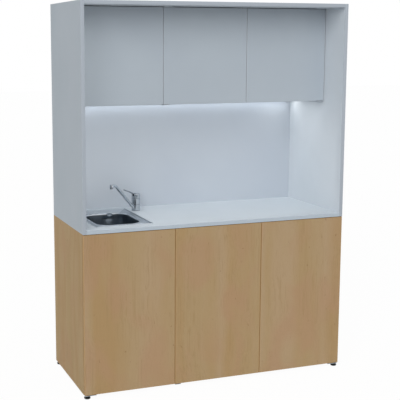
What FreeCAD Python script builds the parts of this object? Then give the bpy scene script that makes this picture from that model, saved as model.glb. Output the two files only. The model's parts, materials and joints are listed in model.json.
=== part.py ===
import FreeCAD, Part
import Sketcher
import math
import os
import re

# Kitchenette unit: base cabinet with a sink, open niche and wall cabinet, all sizes in millimetres.
# The origin is on the floor, under the middle of the unit. +X is to the right, the front faces -Y, +Z is up.

doc = FreeCAD.newDocument("kitchenette")
sheet = doc.addObject("Spreadsheet::Sheet", "Sizes")
nodes = []

sizes = {
    # whole unit
    "UnitWidth": 1500,
    "UnitDepth": 600,
    "FootHeight": 20,
    "BaseHeight": 851,
    "NicheHeight": 615,
    "HutchHeight": 1165,
    "UpperRecess": 200,
    # boards
    "BoardThick": 19,
    "BackThick": 6,
    "DoorThick": 19,
    "RailDepth": 55,
    "ShelfSetback": 20,
    "ShelfClear": 1,
    "BaseShelfHeight": 400,
    "WallShelfHeight": 240,
    # gaps and fits
    "DoorGap": 3,
    "DoorStandoff": 2,
    "DoorEndGap": 3,
    "UpperTopGap": 4,
    "UpperSideGap": 3,
    "FitClear": 0.05,
    "RestClear": 0.3,
    "Overrun": 5,
    # shelf pins
    "PinRadius": 2.5,
    "PinHold": 9,
    "PinReach": 8,
    "PinInset": 60,
    # door pivots
    "PivotInset": 5.5,
    "PivotRadius": 2,
    "PivotDepth": 11,
    "BushWall": 1.5,
    "BushLength": 14,
    "PlateThick": 2.5,
    "PlateEdge": 4,
    "PlateWide": 28,
    "PlateLong": 46,
    "PlateGrip": 42,
    "ScrewRadius": 1.75,
    "ScrewHead": 3.5,
    "ScrewLength": 12,
    "ScrewFirst": 18,
    "ScrewPitch": 18,
    "ScrewBack": 12,
    # push latches
    "LatchWide": 14,
    "LatchHigh": 12,
    "LatchLong": 55,
    "LatchInset": 2,
    "PlungerRadius": 4,
    "PlungerLong": 40,
    # levelling feet
    "FootRadius": 17,
    "FootInset": 18,
    "FootSole": 11,
    "FootRound": 4,
    "StudRadius": 4,
    "BossRadius": 7,
    "BossHeight": 4.5,
    "FootPlateWide": 57,
    "FootPlateLong": 68,
    # sink
    "SinkLeft": 92,
    "SinkRight": 95,
    "SinkFront": 72,
    "SinkBack": 55,
    "SinkRound": 12,
    "SheetThick": 1,
    "SinkOverlap": 13,
    "LedgeLeft": 28,
    "LedgeRight": 45,
    "LedgeFront": 43,
    "LedgeBack": 115,
    "BowlRound": 70,
    "BowlDepth": 155,
    "BowlFloorRound": 24,
    "ClipWide": 12,
    "ClipThick": 3,
    "ClipReach": 10,
    "ClipInset": 70,
    # waste and trap
    "WasteRadius": 40,
    "WasteRim": 50,
    "WasteDrop": 44,
    "WasteWall": 2,
    "TailRadius": 16,
    "TailDrop": 40,
    "BasketClear": 3,
    "BasketFloorGap": 14,
    "BasketLap": 3,
    "KnobRadius": 5,
    "KnobHigh": 18,
    "TrapRadius": 30,
    "BottleDrop": 92,
    "CollarWall": 8,
    "CollarHigh": 16,
    "OutletRadius": 20,
    "OutletWall": 2,
    "OutletDrop": 30,
    "SocketWall": 3.8,
    "SocketClear": 0.2,
    "SocketDepth": 40,
    "BackClear": 1.5,
    # tap
    "TapSide": 56,
    "TapBack": 128,
    "TapAngle": 215.5,
    "TapRadius": 24,
    "TapBase": 3,
    "TapSwivel": 33,
    "TapCollar": 35,
    "TapCap": 27,
    "TapCore": 15,
    "TapShank": 16,
    "TapShankDrop": 40,
    "TapHoleClear": 1.5,
    "TapNut": 24,
    "TapNutHigh": 8,
    "SpoutRadius": 8,
    "SpoutReach": 227,
    "SpoutRise": 166,
    "SpoutStart": 15,
    "SpoutFlat": 34,
    "SpoutBend": 45,
    "NozzleRadius": 9.5,
    "NozzleHigh": 25,
    "AeratorHigh": 6,
    "AeratorNeck": 6,
    "AeratorBore": 4,
    "LeverReach": 114,
    "LeverRise": 42,
    "LeverWide": 9,
    "LeverThick": 5,
    "LeverKnuckle": 5.5,
    "LeverPin": 2,
    "LeverPinLong": 30,
    "LeverOffset": 8,
    "LeverDepth": 7,
    "StemRadius": 5,
    "StemDepth": 12,
    "SupplyRadius": 5,
    "SupplyWall": 1,
    "SupplySpacing": 18,
    "SupplyLong": 330,
    # under-cabinet light
    "LightEndGap": 60,
    "LightDeep": 30,
    "LightHigh": 14,
    "LightBackGap": 15,
    "DiffuserThick": 3,
    "DiffuserInset": 2,
    "RockerWide": 15,
    "RockerHigh": 8,
    "RockerDeep": 5,
    "RockerProud": 1.5,
    "RockerInset": 40,
    "RockerTilt": 6,
}

for row, (alias, number) in enumerate(sizes.items(), 1):
    sheet.set(f"A{row}", alias)
    sheet.set(f"B{row}", str(number))
    sheet.setAlias(f"B{row}", alias)
doc.recompute()


# Places that several pieces share, as expressions of the sheet's sizes
left = "(-UnitWidth / 2)"
right = "(UnitWidth / 2)"
front = "(-UnitDepth / 2)"
rear = "(UnitDepth / 2)"
inner_left = "(-UnitWidth / 2 + BoardThick)"
inner_right = "(UnitWidth / 2 - BoardThick)"
inner_rear = "(UnitDepth / 2 - BackThick)"
base_front = "(-UnitDepth / 2 + DoorThick + DoorStandoff)"
wall_front = "(-UnitDepth / 2 + UpperRecess + DoorThick + DoorStandoff)"
upper_front = "(-UnitDepth / 2 + UpperRecess)"
base_under = "FootHeight"
base_floor = "(FootHeight + BoardThick)"
base_top = "(FootHeight + BaseHeight)"
worktop_top = "(FootHeight + BaseHeight + BoardThick)"
unit_top = "(FootHeight + BaseHeight + HutchHeight)"
hutch_under = "(FootHeight + BaseHeight + HutchHeight - BoardThick)"
upper_low = "(FootHeight + BaseHeight + BoardThick + NicheHeight)"
wall_under = "(FootHeight + BaseHeight + BoardThick + NicheHeight - DoorEndGap)"
wall_floor = "(FootHeight + BaseHeight + 2 * BoardThick + NicheHeight - DoorEndGap)"
bay_names = ("left", "middle", "right")


def bound(text):
    """The same expression with the sheet's name in front of each alias."""
    return re.sub(r"[A-Z][A-Za-z]+", lambda word: "Sizes." + word.group(), text)


def size(alias):
    """The number that the sheet holds under an alias."""
    return float(sheet.get(alias))


def drive(piece, **bindings):
    """Binds properties of a piece to expressions of the sheet's sizes."""
    for name, text in bindings.items():
        piece.setExpression(name, bound(text))
    return piece


def place(piece, x="0", y="0", z="0"):
    """Binds the place of a piece to expressions of the sheet's sizes."""
    piece.setExpression("Placement.Base.x", bound(x))
    piece.setExpression("Placement.Base.y", bound(y))
    piece.setExpression("Placement.Base.z", bound(z))
    return piece


def block(name, across, deep, high):
    """A box between a low and a high expression along X, Y and Z."""
    piece = doc.addObject("Part::Box", name)
    drive(piece, Length=f"{across[1]} - {across[0]}", Width=f"{deep[1]} - {deep[0]}", Height=f"{high[1]} - {high[0]}")
    return place(piece, across[0], deep[0], high[0])


def rod(name, radius, x, y, z, length, along="z"):
    """A cylinder that starts at a point and runs along +X, +Y or +Z."""
    piece = doc.addObject("Part::Cylinder", name)
    drive(piece, Radius=radius, Height=length)
    turns = {"x": ((0, 1, 0), 90), "y": ((1, 0, 0), -90), "z": ((0, 0, 1), 0)}
    axis, angle = turns[along]
    piece.Placement.Rotation = FreeCAD.Rotation(FreeCAD.Vector(*axis), angle)
    return place(piece, x, y, z)


def taper(name, low_radius, high_radius, x, y, z, height):
    """An upright cone."""
    piece = doc.addObject("Part::Cone", name)
    drive(piece, Radius1=low_radius, Radius2=high_radius, Height=height)
    return place(piece, x, y, z)


def group(name, members):
    """Separate solids that share one name."""
    piece = doc.addObject("Part::Compound", name)
    piece.Links = members
    return piece


def joined(name, members):
    """Solids that are one piece on the real object."""
    piece = doc.addObject("Part::MultiFuse", name)
    piece.Shapes = members
    return piece


def cut(name, base, tools):
    """A piece with holes or pockets taken out of it."""
    piece = doc.addObject("Part::Cut", name)
    piece.Base = base
    piece.Tool = tools[0] if len(tools) == 1 else group(name + "_tools", tools)
    return piece


def rounded(name, base, radius, wanted):
    """A piece whose edges chosen by the wanted test get one radius."""
    doc.recompute()
    piece = doc.addObject("Part::Fillet", name)
    piece.Base = base
    edges = enumerate(base.Shape.Edges, 1)
    piece.Edges = [(number, radius, radius) for number, edge in edges if wanted(edge)]
    return piece


def upright(edge):
    """True for an edge that runs along Z."""
    box = edge.BoundBox
    return box.XLength + box.YLength < box.ZLength


def turned(name, outline, x="0", y="0", z="0"):
    """A body turned about Z, from an outline of radius and height expressions."""
    body = doc.addObject("PartDesign::Body", name)
    sketch = body.newObject("Sketcher::SketchObject", name + "_outline")
    plane = [item for item in body.Origin.OriginFeatures if item.Role == "XZ_Plane"][0]
    sketch.AttachmentSupport = (plane, [""])
    sketch.MapMode = "FlatFace"
    count = len(outline)
    guess = [FreeCAD.Vector(number + 1, number * number, 0) for number in range(count)]
    for number in range(count):
        sketch.addGeometry(Part.LineSegment(guess[number], guess[(number + 1) % count]), False)
    for number in range(count):
        sketch.addConstraint(Sketcher.Constraint("Coincident", (number - 1) % count, 2, number, 1))
    for number, (radius, height) in enumerate(outline):
        for kind, text, axis in (("DistanceX", radius, -2), ("DistanceY", height, -1)):
            if text == "0":
                sketch.addConstraint(Sketcher.Constraint("PointOnObject", number, 1, axis))
                continue
            index = sketch.addConstraint(Sketcher.Constraint(kind, -1, 1, number, 1, 1.0 + number))
            sketch.setExpression(f"Constraints[{index}]", bound(text))
    turn = body.newObject("PartDesign::Revolution", name + "_turn")
    turn.Profile = sketch
    turn.ReferenceAxis = (sketch, ["V_Axis"])
    turn.Angle = 360
    body.Tip = turn
    return place(body, x, y, z)


def keep(piece):
    """Puts a piece on the list of sub-parts that are written out."""
    nodes.append(piece)
    return piece


def seam(number):
    """Middle of a base partition, counted from the left."""
    return f"(-UnitWidth / 2 + {number} * UnitWidth / 3)"


def wall_seam(number):
    """Middle of a wall cabinet partition, counted from the left."""
    return f"(-UnitWidth / 2 + BoardThick + {number} * (UnitWidth - 2 * BoardThick) / 3)"


# Doors: the edges of each bay, the hinged side and the pivot line
lower_step = "(UnitWidth / 3)"
upper_step = "((UnitWidth - 2 * BoardThick - 2 * UpperSideGap + DoorGap) / 3)"


def door_span(row, number):
    """Left and right edge of a door."""
    if row == "lower":
        start = f"({left} + DoorGap / 2 + {number} * {lower_step})"
        return start, f"({start} + {lower_step} - DoorGap)"
    start = f"({inner_left} + UpperSideGap + {number} * {upper_step})"
    return start, f"({start} + {upper_step} - DoorGap)"


def hinge_side(number):
    """+1 where the pivots are at the left edge of the door, -1 at the right edge."""
    return -1 if number == 2 else 1


def pivot_x(row, number):
    low, high = door_span(row, number)
    return f"({low} + PivotInset)" if hinge_side(number) > 0 else f"({high} - PivotInset)"


def inward(start, side, distance):
    """A place at a distance from the pivot, towards the free edge of its door."""
    return f"({start} + {side} * ({distance}))"


def ordered(first, second, side):
    return (first, second) if side > 0 else (second, first)


door_front = {"lower": front, "upper": upper_front}
door_low = {"lower": f"({base_under} + DoorEndGap)", "upper": upper_low}
door_high = {"lower": f"({base_top} - DoorEndGap)", "upper": f"({hutch_under} - UpperTopGap)"}
carcass_low = {"lower": base_under, "upper": wall_under}
carcass_high = {"lower": base_top, "upper": hutch_under}
carcass_front = {"lower": base_front, "upper": wall_front}


def screw(name, x, y, face):
    """A countersunk screw that holds a plate under a board whose lower face is given."""
    head = taper(name + "_head", "ScrewHead", "ScrewRadius", x, y, f"{face} - PlateThick", "PlateThick")
    shank = rod(name + "_shank", "ScrewRadius", x, y, face, "ScrewLength")
    return joined(name, [head, shank])


def countersink(name, x, y, face):
    """The screw's hole in its plate."""
    return taper(name, "ScrewHead + FitClear", "ScrewRadius + FitClear", x, y, f"{face} - PlateThick", "PlateThick")


def pilot(name, x, y, face):
    """The screw's hole in the board."""
    return rod(name, "ScrewRadius + FitClear", x, y, face, "ScrewLength + RestClear")


def plate_screws(row, number, end):
    """Where the two screws of a pivot plate go: x, y and the board's lower face."""
    side = hinge_side(number)
    pivot = pivot_x(row, number)
    if end == "low":
        x = inward(pivot, side, "ScrewFirst")
        return [(x, f"({carcass_front[row]} + ScrewBack + {step} * ScrewPitch)", carcass_low[row]) for step in (0, 1)]
    y = f"({door_front[row]} + DoorThick / 2)"
    return [(inward(pivot, side, f"ScrewFirst + {step} * ScrewPitch"), y, carcass_high[row]) for step in (0, 1)]


def rear_screws(number):
    """Where the two screws of a rear foot plate go."""
    x = inward(pivot_x("lower", number), hinge_side(number), "ScrewFirst")
    y = f"({rear} - FootPlateLong + ScrewBack"
    return [(x, f"{y} + {step} * ScrewPitch)", base_under) for step in (0, 1)]


def pilots(name, spots):
    return [pilot(f"{name}_pilot_{number}", *spot) for number, spot in enumerate(spots)]


def foot_place(corner_x, corner_y):
    """Axis of a levelling foot, from its corner of the unit."""
    x = f"({left} + FootInset)" if corner_x < 0 else f"({right} - FootInset)"
    y = f"({front} + FootInset)" if corner_y < 0 else f"({rear} - FootInset)"
    return x, y


# Shelf pins: the face that a pin stands in, the way it points and the shelf that it carries
base_shelf_low = f"({base_floor} + BaseShelfHeight)"
wall_shelf_low = f"({wall_floor} + WallShelfHeight)"
half_board = "BoardThick / 2"


def pin_rows(row):
    """The name of each board that holds pins, its face and the way that the pins point."""
    middle = seam if row == "lower" else wall_seam
    rows = [
        ("side_left", inner_left, 1),
        ("partition_left", f"({middle(1)} - {half_board})", -1),
        ("partition_left", f"({middle(1)} + {half_board})", 1),
        ("partition_right", f"({middle(2)} - {half_board})", -1),
        ("partition_right", f"({middle(2)} + {half_board})", 1),
        ("side_right", inner_right, -1),
    ]
    return rows[2:] if row == "lower" else rows


def pin_depths(row):
    """The two places along the depth where a shelf rests on its pins."""
    return (f"({carcass_front[row]} + ShelfSetback + PinInset)", f"({inner_rear} - ShelfClear - PinInset)")


def pin_spots(row, board):
    """Face, way, depth and height of each pin in one board."""
    shelf_low = base_shelf_low if row == "lower" else wall_shelf_low
    faces = [(face, side) for name, face, side in pin_rows(row) if board in (name, "all")]
    return [(face, side, y, f"({shelf_low} - PinRadius)") for face, side in faces for y in pin_depths(row)]


def pin(name, face, side, y, z):
    start = f"{face} - PinHold" if side > 0 else f"{face} - PinReach"
    return rod(name, "PinRadius", start, y, z, "PinHold + PinReach", "x")


def pin_hole(name, face, side, y, z):
    start = f"{face} - PinHold - RestClear" if side > 0 else f"{face} - Overrun"
    return rod(name, "PinRadius + FitClear", start, y, z, "PinHold + RestClear + Overrun", "x")


def pin_holes(name, row, board):
    return [pin_hole(f"{name}_hole_{number}", *spot) for number, spot in enumerate(pin_spots(row, board))]


# Base cabinet
sink_wide = f"({lower_step} - SinkLeft - SinkRight)"
sink_deep = "(UnitDepth - SinkFront - SinkBack)"
sink_low_x = f"({left} + SinkLeft)"
sink_low_y = f"({front} + SinkFront)"
bowl_wide = f"({sink_wide} - LedgeLeft - LedgeRight)"
bowl_long = f"({sink_deep} - LedgeFront - LedgeBack)"
bowl_low_x = f"({sink_low_x} + LedgeLeft)"
bowl_low_y = f"({sink_low_y} + LedgeFront)"
drain_x = f"({bowl_low_x} + {bowl_wide} / 2)"
drain_y = f"({bowl_low_y} + {bowl_long} / 2)"
bowl_floor = f"({worktop_top} + 2 * SheetThick - BowlDepth)"
tail_low = f"({bowl_floor} - WasteDrop - TailDrop)"
outlet_z = f"({tail_low} - OutletDrop)"
socket_radius = "(OutletRadius + SocketClear + SocketWall)"
tap_x = f"({seam(1)} - TapSide)"
tap_y = f"({rear} - TapBack)"


def base_cabinet():
    side_left = block("base_side_left", (left, inner_left), (base_front, rear), (base_under, base_top))
    keep(side_left)
    board = block("base_side_right_board", (inner_right, right), (base_front, rear), (base_under, base_top))
    keep(cut("base_side_right", board, pin_holes("base_side_right", "lower", "side_right")))
    spots = [spot for number in range(3) for spot in plate_screws("lower", number, "low")]
    spots += rear_screws(0) + rear_screws(2)
    board = block("base_bottom_board", (inner_left, inner_right), (base_front, inner_rear), (base_under, base_floor))
    keep(cut("base_bottom", board, pilots("base_bottom", spots)))
    for number, name in ((1, "partition_left"), (2, "partition_right")):
        across = (f"({seam(number)} - {half_board})", f"({seam(number)} + {half_board})")
        board = block(f"base_{name}_board", across, (base_front, inner_rear), (base_floor, base_top))
        keep(cut(f"base_{name}", board, pin_holes(f"base_{name}", "lower", name)))
    board = block("base_back_board", (inner_left, inner_right), (inner_rear, rear), (base_under, base_top))
    opening = rod("base_back_opening", f"{socket_radius} + BackClear", drain_x, f"{inner_rear} - Overrun", outlet_z,
                  "BackThick + 2 * Overrun", "y")
    keep(cut("base_back", board, [opening]))


def bay_span(row, number):
    """The two walls of a bay, without their thickness."""
    middle = seam if row == "lower" else wall_seam
    low = inner_left if number == 0 else f"({middle(number)} + {half_board})"
    high = inner_right if number == 2 else f"({middle(number + 1)} - {half_board})"
    return low, high


def rails_and_shelves():
    rails = []
    high = (f"({base_top} - BoardThick)", base_top)
    for number in range(3):
        span = bay_span("lower", number)
        deep = (base_front, f"({base_front} + RailDepth)")
        rails.append(block(f"front_rail_{bay_names[number]}", span, deep, high))
        deep = (f"({inner_rear} - RailDepth)", inner_rear)
        rails.append(block(f"rear_rail_{bay_names[number]}", span, deep, high))
    keep(group("base_rails", rails))
    shelf_set("base_shelves", "lower", (1, 2), base_shelf_low)
    shelf_set("wall_shelves", "upper", (0, 1, 2), wall_shelf_low)
    spots = pin_spots("lower", "all") + pin_spots("upper", "all")
    keep(group("shelf_pins", [pin(f"shelf_pin_{number}", *spot) for number, spot in enumerate(spots)]))


def shelf_set(name, row, bays, low):
    shelves = []
    for number in bays:
        start, end = bay_span(row, number)
        across = (f"({start} + ShelfClear)", f"({end} - ShelfClear)")
        deep = (f"({carcass_front[row]} + ShelfSetback)", f"({inner_rear} - ShelfClear)")
        shelves.append(block(f"{name}_{bay_names[number]}", across, deep, (low, f"({low} + BoardThick)")))
    keep(group(name, shelves))


def worktop():
    board = block("worktop_board", (inner_left, inner_right), (front, inner_rear), (base_top, worktop_top))
    across = (f"({sink_low_x} + SinkOverlap)", f"({sink_low_x} + {sink_wide} - SinkOverlap)")
    deep = (f"({sink_low_y} + SinkOverlap)", f"({sink_low_y} + {sink_deep} - SinkOverlap)")
    opening = block("sink_cut_block", across, deep, (f"({base_top} - Overrun)", f"({worktop_top} + Overrun)"))
    opening = rounded("sink_cut", opening, size("SinkRound"), upright)
    tap_hole = rod("tap_hole", "TapShank + TapHoleClear", tap_x, tap_y, f"{base_top} - Overrun",
                   "BoardThick + 2 * Overrun")
    spots = [spot for number in range(3) for spot in plate_screws("lower", number, "high")]
    keep(cut("worktop", board, [opening, tap_hole] + pilots("worktop", spots)))


# Hutch with the wall cabinet
def hutch():
    for name, across in (("side_left", (left, inner_left)), ("side_right", (inner_right, right))):
        board = block(f"hutch_{name}_board", across, (front, rear), (base_top, unit_top))
        keep(cut(f"hutch_{name}", board, pin_holes(f"hutch_{name}", "upper", name)))
    board = block("hutch_top_board", (inner_left, inner_right), (front, rear), (hutch_under, unit_top))
    spots = [spot for number in range(3) for spot in plate_screws("upper", number, "high")]
    keep(cut("hutch_top", board, pilots("hutch_top", spots)))
    keep(block("splashback", (inner_left, inner_right), (inner_rear, rear), (base_top, hutch_under)))
    board = block("wall_bottom_board", (inner_left, inner_right), (wall_front, inner_rear), (wall_under, wall_floor))
    spots = [spot for number in range(3) for spot in plate_screws("upper", number, "low")]
    keep(cut("wall_bottom", board, pilots("wall_bottom", spots)))
    for number, name in ((1, "partition_left"), (2, "partition_right")):
        across = (f"({wall_seam(number)} - {half_board})", f"({wall_seam(number)} + {half_board})")
        board = block(f"wall_{name}_board", across, (wall_front, inner_rear), (wall_floor, hutch_under))
        keep(cut(f"wall_{name}", board, pin_holes(f"wall_{name}", "upper", name)))


# Doors, with a bush in the top and bottom edge at the pivot line
def door(row, number):
    name = f"{row}_{bay_names[number]}"
    x = pivot_x(row, number)
    y = f"({door_front[row]} + PivotInset)"
    low = door_low[row]
    high = door_high[row]
    ends = (("low", low), ("high", f"({high} - BushLength)"))
    bushes = []
    bores = []
    for end, start in ends:
        outer = rod(f"bush_{name}_{end}_outer", "PivotRadius + FitClear + BushWall", x, y, start, "BushLength")
        inner = rod(f"bush_{name}_{end}_bore", "PivotRadius + FitClear", x, y, f"{start} - Overrun",
                    "BushLength + 2 * Overrun")
        bushes.append(cut(f"bush_{name}_{end}", outer, [inner]))
        start = f"{low} - Overrun" if end == "low" else start
        bores.append(rod(f"door_{name}_{end}_bore", "PivotRadius + 2 * FitClear + BushWall", x, y, start,
                         "BushLength + Overrun"))
    deep = (door_front[row], f"({door_front[row]} + DoorThick)")
    slab = block(f"door_{name}_slab", door_span(row, number), deep, (low, high))
    keep(cut(f"door_{name}", slab, bores))
    keep(group(f"bushes_{name}", bushes))


def pivot_plate(row, number, end):
    """The steel plate with its riveted pin that a door turns on. Two of them carry a levelling foot as well."""
    name = f"pivot_{row}_{bay_names[number]}_{end}"
    side = hinge_side(number)
    x = pivot_x(row, number)
    y = f"({door_front[row]} + PivotInset)"
    foot = row == "lower" and end == "low" and number != 1
    face = carcass_low[row] if end == "low" else carcass_high[row]
    wide = "FootPlateWide" if foot else "PlateWide" if end == "low" else "PlateLong"
    across = ordered(inward(x, -side, "PlateEdge"), inward(x, side, wide), side)
    if foot:
        deep = (f"({y} - PlateEdge)", f"({y} - PlateEdge + FootPlateLong)")
    elif end == "low":
        deep = (f"({y} - PlateEdge)", f"({carcass_front[row]} + PlateGrip)")
    else:
        deep = (f"({y} - PlateEdge)", f"({door_front[row]} + DoorThick - RestClear)")
    plate = block(name + "_plate", across, deep, (f"({face} - PlateThick)", face))
    if end == "low":
        pivot = rod(name + "_pin", "PivotRadius", x, y, f"{face} - PlateThick",
                    f"PlateThick + {door_low[row]} - {face} + PivotDepth")
    else:
        pivot = rod(name + "_pin", "PivotRadius", x, y, f"{door_high[row]} - PivotDepth",
                    f"{face} - {door_high[row]} + PivotDepth")
    solids = [plate, pivot]
    holes = [countersink(f"{name}_sink_{order}", *spot) for order, spot in enumerate(plate_screws(row, number, end))]
    if foot:
        foot_x, foot_y = foot_place(-side, -1)
        solids.append(foot_boss(name, foot_x, foot_y))
        holes.append(stud_hole(name, foot_x, foot_y))
    return cut(name, joined(name + "_blank", solids), holes)


def foot_boss(name, x, y):
    return rod(name + "_boss", "BossRadius", x, y, f"{base_under} - PlateThick - BossHeight",
               "BossHeight + PlateThick / 2")


def stud_hole(name, x, y):
    return rod(name + "_stud_hole", "StudRadius + FitClear", x, y, f"{base_under} - PlateThick - BossHeight - Overrun",
               "BossHeight + PlateThick + 2 * Overrun")


def rear_foot_plate(number):
    name = f"rear_foot_plate_{bay_names[number]}"
    side = hinge_side(number)
    x = pivot_x("lower", number)
    across = ordered(inward(x, -side, "PlateEdge"), inward(x, side, "FootPlateWide"), side)
    edge = f"({rear} - PivotInset + PlateEdge"
    plate = block(name + "_plate", across, (f"{edge} - FootPlateLong)", f"{edge})"),
                  (f"({base_under} - PlateThick)", base_under))
    foot_x, foot_y = foot_place(-side, 1)
    solid = joined(name + "_blank", [plate, foot_boss(name, foot_x, foot_y)])
    holes = [countersink(f"{name}_sink_{order}", *spot) for order, spot in enumerate(rear_screws(number))]
    return cut(name, solid, holes + [stud_hole(name, foot_x, foot_y)])


def doors_and_pivots():
    screws = []
    for row in ("lower", "upper"):
        plates = []
        for number in range(3):
            door(row, number)
            for end in ("low", "high"):
                plates.append(pivot_plate(row, number, end))
                for spot in plate_screws(row, number, end):
                    screws.append(screw(f"plate_screw_{len(screws)}", *spot))
        keep(group(f"{row}_pivot_plates", plates))
    keep(group("rear_foot_plates", [rear_foot_plate(0), rear_foot_plate(2)]))
    for number in (0, 2):
        for spot in rear_screws(number):
            screws.append(screw(f"plate_screw_{len(screws)}", *spot))
    keep(group("plate_screws", screws))


# Push latches near the free edge of each door
def latch_wall(row, number):
    """The wall beside a latch and the way from it into the bay."""
    low, high = bay_span(row, number)
    return (low, 1) if number == 2 else (high, -1)


def latches():
    bodies = []
    for row in ("lower", "upper"):
        for number in range(3):
            name = f"{row}_{bay_names[number]}"
            wall, side = latch_wall(row, number)
            under = f"({base_top} - BoardThick)" if row == "lower" else hutch_under
            across = ordered(inward(wall, side, "LatchInset"), inward(wall, side, "LatchInset + LatchWide"), side)
            deep = (carcass_front[row], f"({carcass_front[row]} + LatchLong)")
            body = block(f"latch_{name}_case", across, deep, (f"({under} - LatchHigh)", under))
            x = inward(wall, side, "LatchInset + LatchWide / 2")
            z = f"({under} - LatchHigh / 2)"
            bore = rod(f"latch_{name}_bore", "PlungerRadius + FitClear", x, f"{carcass_front[row]} - Overrun", z,
                       "LatchLong", "y")
            bodies.append(cut(f"latch_{name}", body, [bore]))
            start = f"{door_front[row]} + DoorThick + RestClear"
            keep(rod(f"plunger_{name}", "PlungerRadius", x, start, z, "PlungerLong", "y"))
    keep(group("latch_cases", bodies))


# Levelling feet: a pad with a rounded lower edge and a stud that screws into the plate above it
def feet():
    pad_high = "(FootHeight - PlateThick - BossHeight - RestClear)"
    outline = [
        ("0", "0"),
        ("FootSole", "0"),
        ("FootRadius", "FootRound"),
        ("FootRadius", pad_high),
        ("StudRadius", pad_high),
        ("StudRadius", "FootHeight - RestClear"),
        ("0", "FootHeight - RestClear"),
    ]
    for across, side in (("left", -1), ("right", 1)):
        for deep, way in (("front", -1), ("rear", 1)):
            x, y = foot_place(side, way)
            keep(turned(f"foot_{deep}_{across}", outline, x, y, "0"))


# Sink: one pressed sheet with a flange and a deep bowl, its clips, waste, strainer and trap
def sink():
    top = f"({worktop_top} + SheetThick)"
    across = (sink_low_x, f"({sink_low_x} + {sink_wide})")
    deep = (sink_low_y, f"({sink_low_y} + {sink_deep})")
    flange = rounded("sink_flange", block("sink_flange_block", across, deep, (worktop_top, top)),
                     size("SinkRound"), upright)
    outer = bowl_shape("bowl_outer", "SheetThick", (f"({bowl_floor} - SheetThick)", top))
    inner = bowl_shape("bowl_inner", "0", (bowl_floor, f"({top} + Overrun)"))
    drain = rod("drain_hole", "WasteRadius + FitClear", drain_x, drain_y, f"{bowl_floor} - Overrun", "2 * Overrun")
    keep(cut("sink_bowl", joined("sink_blank", [flange, outer]), [inner, drain]))
    clips = [sink_clip(f"sink_clip_{side}_{end}", side, end) for side in (-1, 1) for end in (-1, 1)]
    keep(group("sink_clips", clips))


def bowl_shape(name, wall, high):
    """A block with the bowl's rounded corners and floor, larger by a wall all round."""
    across = (f"({bowl_low_x} - {wall})", f"({bowl_low_x} + {bowl_wide} + {wall})")
    deep = (f"({bowl_low_y} - {wall})", f"({bowl_low_y} + {bowl_long} + {wall})")
    extra = size(wall) if wall != "0" else 0
    shape = rounded(name + "_walls", block(name + "_block", across, deep, high), size("BowlRound") + extra, upright)
    doc.recompute()
    floor = shape.Shape.BoundBox.ZMin + size("FitClear")
    return rounded(name, shape, size("BowlFloorRound") + extra, lambda edge: edge.BoundBox.ZMax < floor)


def sink_clip(name, side, end):
    """A clip between the flange and the lower face of the worktop."""
    edge = f"({sink_low_x} + {sink_wide} / 2 + {side} * ({sink_wide} / 2 - SinkOverlap))"
    middle = f"({sink_low_y} + {sink_deep} / 2 + {end} * ({sink_deep} / 2 - ClipInset))"
    deep = (f"({middle} - ClipWide / 2)", f"({middle} + ClipWide / 2)")
    leg_span = ordered(inward(edge, -side, "RestClear + ClipThick"), inward(edge, -side, "RestClear"), side)
    leg = block(name + "_leg", leg_span, deep, (f"({base_top} - ClipThick)", worktop_top))
    finger_span = ordered(inward(edge, -side, "RestClear + ClipThick"), inward(edge, side, "ClipReach"), side)
    finger = block(name + "_finger", finger_span, deep, (f"({base_top} - ClipThick)", base_top))
    return joined(name, [leg, finger])


def waste():
    outline = [
        ("WasteRim", "0"),
        ("WasteRim", "WasteWall"),
        ("WasteRadius - WasteWall", "WasteWall"),
        ("WasteRadius - WasteWall", "-WasteDrop"),
        ("TailRadius - WasteWall", "-WasteDrop"),
        ("TailRadius - WasteWall", "-WasteDrop - TailDrop"),
        ("TailRadius", "-WasteDrop - TailDrop"),
        ("TailRadius", "-WasteDrop - WasteWall"),
        ("WasteRadius", "-WasteDrop - WasteWall"),
        ("WasteRadius", "0"),
    ]
    keep(turned("sink_waste", outline, drain_x, drain_y, bowl_floor))
    rim = "(WasteWall + RestClear)"
    basket_radius = "(WasteRadius - WasteWall - BasketClear)"
    basket_rim = "(WasteRadius + BasketLap)"
    basket_drop = "(WasteDrop - BasketFloorGap)"
    outline = [
        ("0", f"-{basket_drop}"),
        (basket_radius, f"-{basket_drop}"),
        (basket_radius, rim),
        (basket_rim, rim),
        (basket_rim, f"{rim} + SheetThick"),
        (f"{basket_radius} - SheetThick", f"{rim} + SheetThick"),
        (f"{basket_radius} - SheetThick", f"SheetThick - {basket_drop}"),
        ("KnobRadius", f"SheetThick - {basket_drop}"),
        ("KnobRadius", f"KnobHigh - {basket_drop}"),
        ("0", f"KnobHigh - {basket_drop}"),
    ]
    keep(turned("strainer_basket", outline, drain_x, drain_y, bowl_floor))


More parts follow.
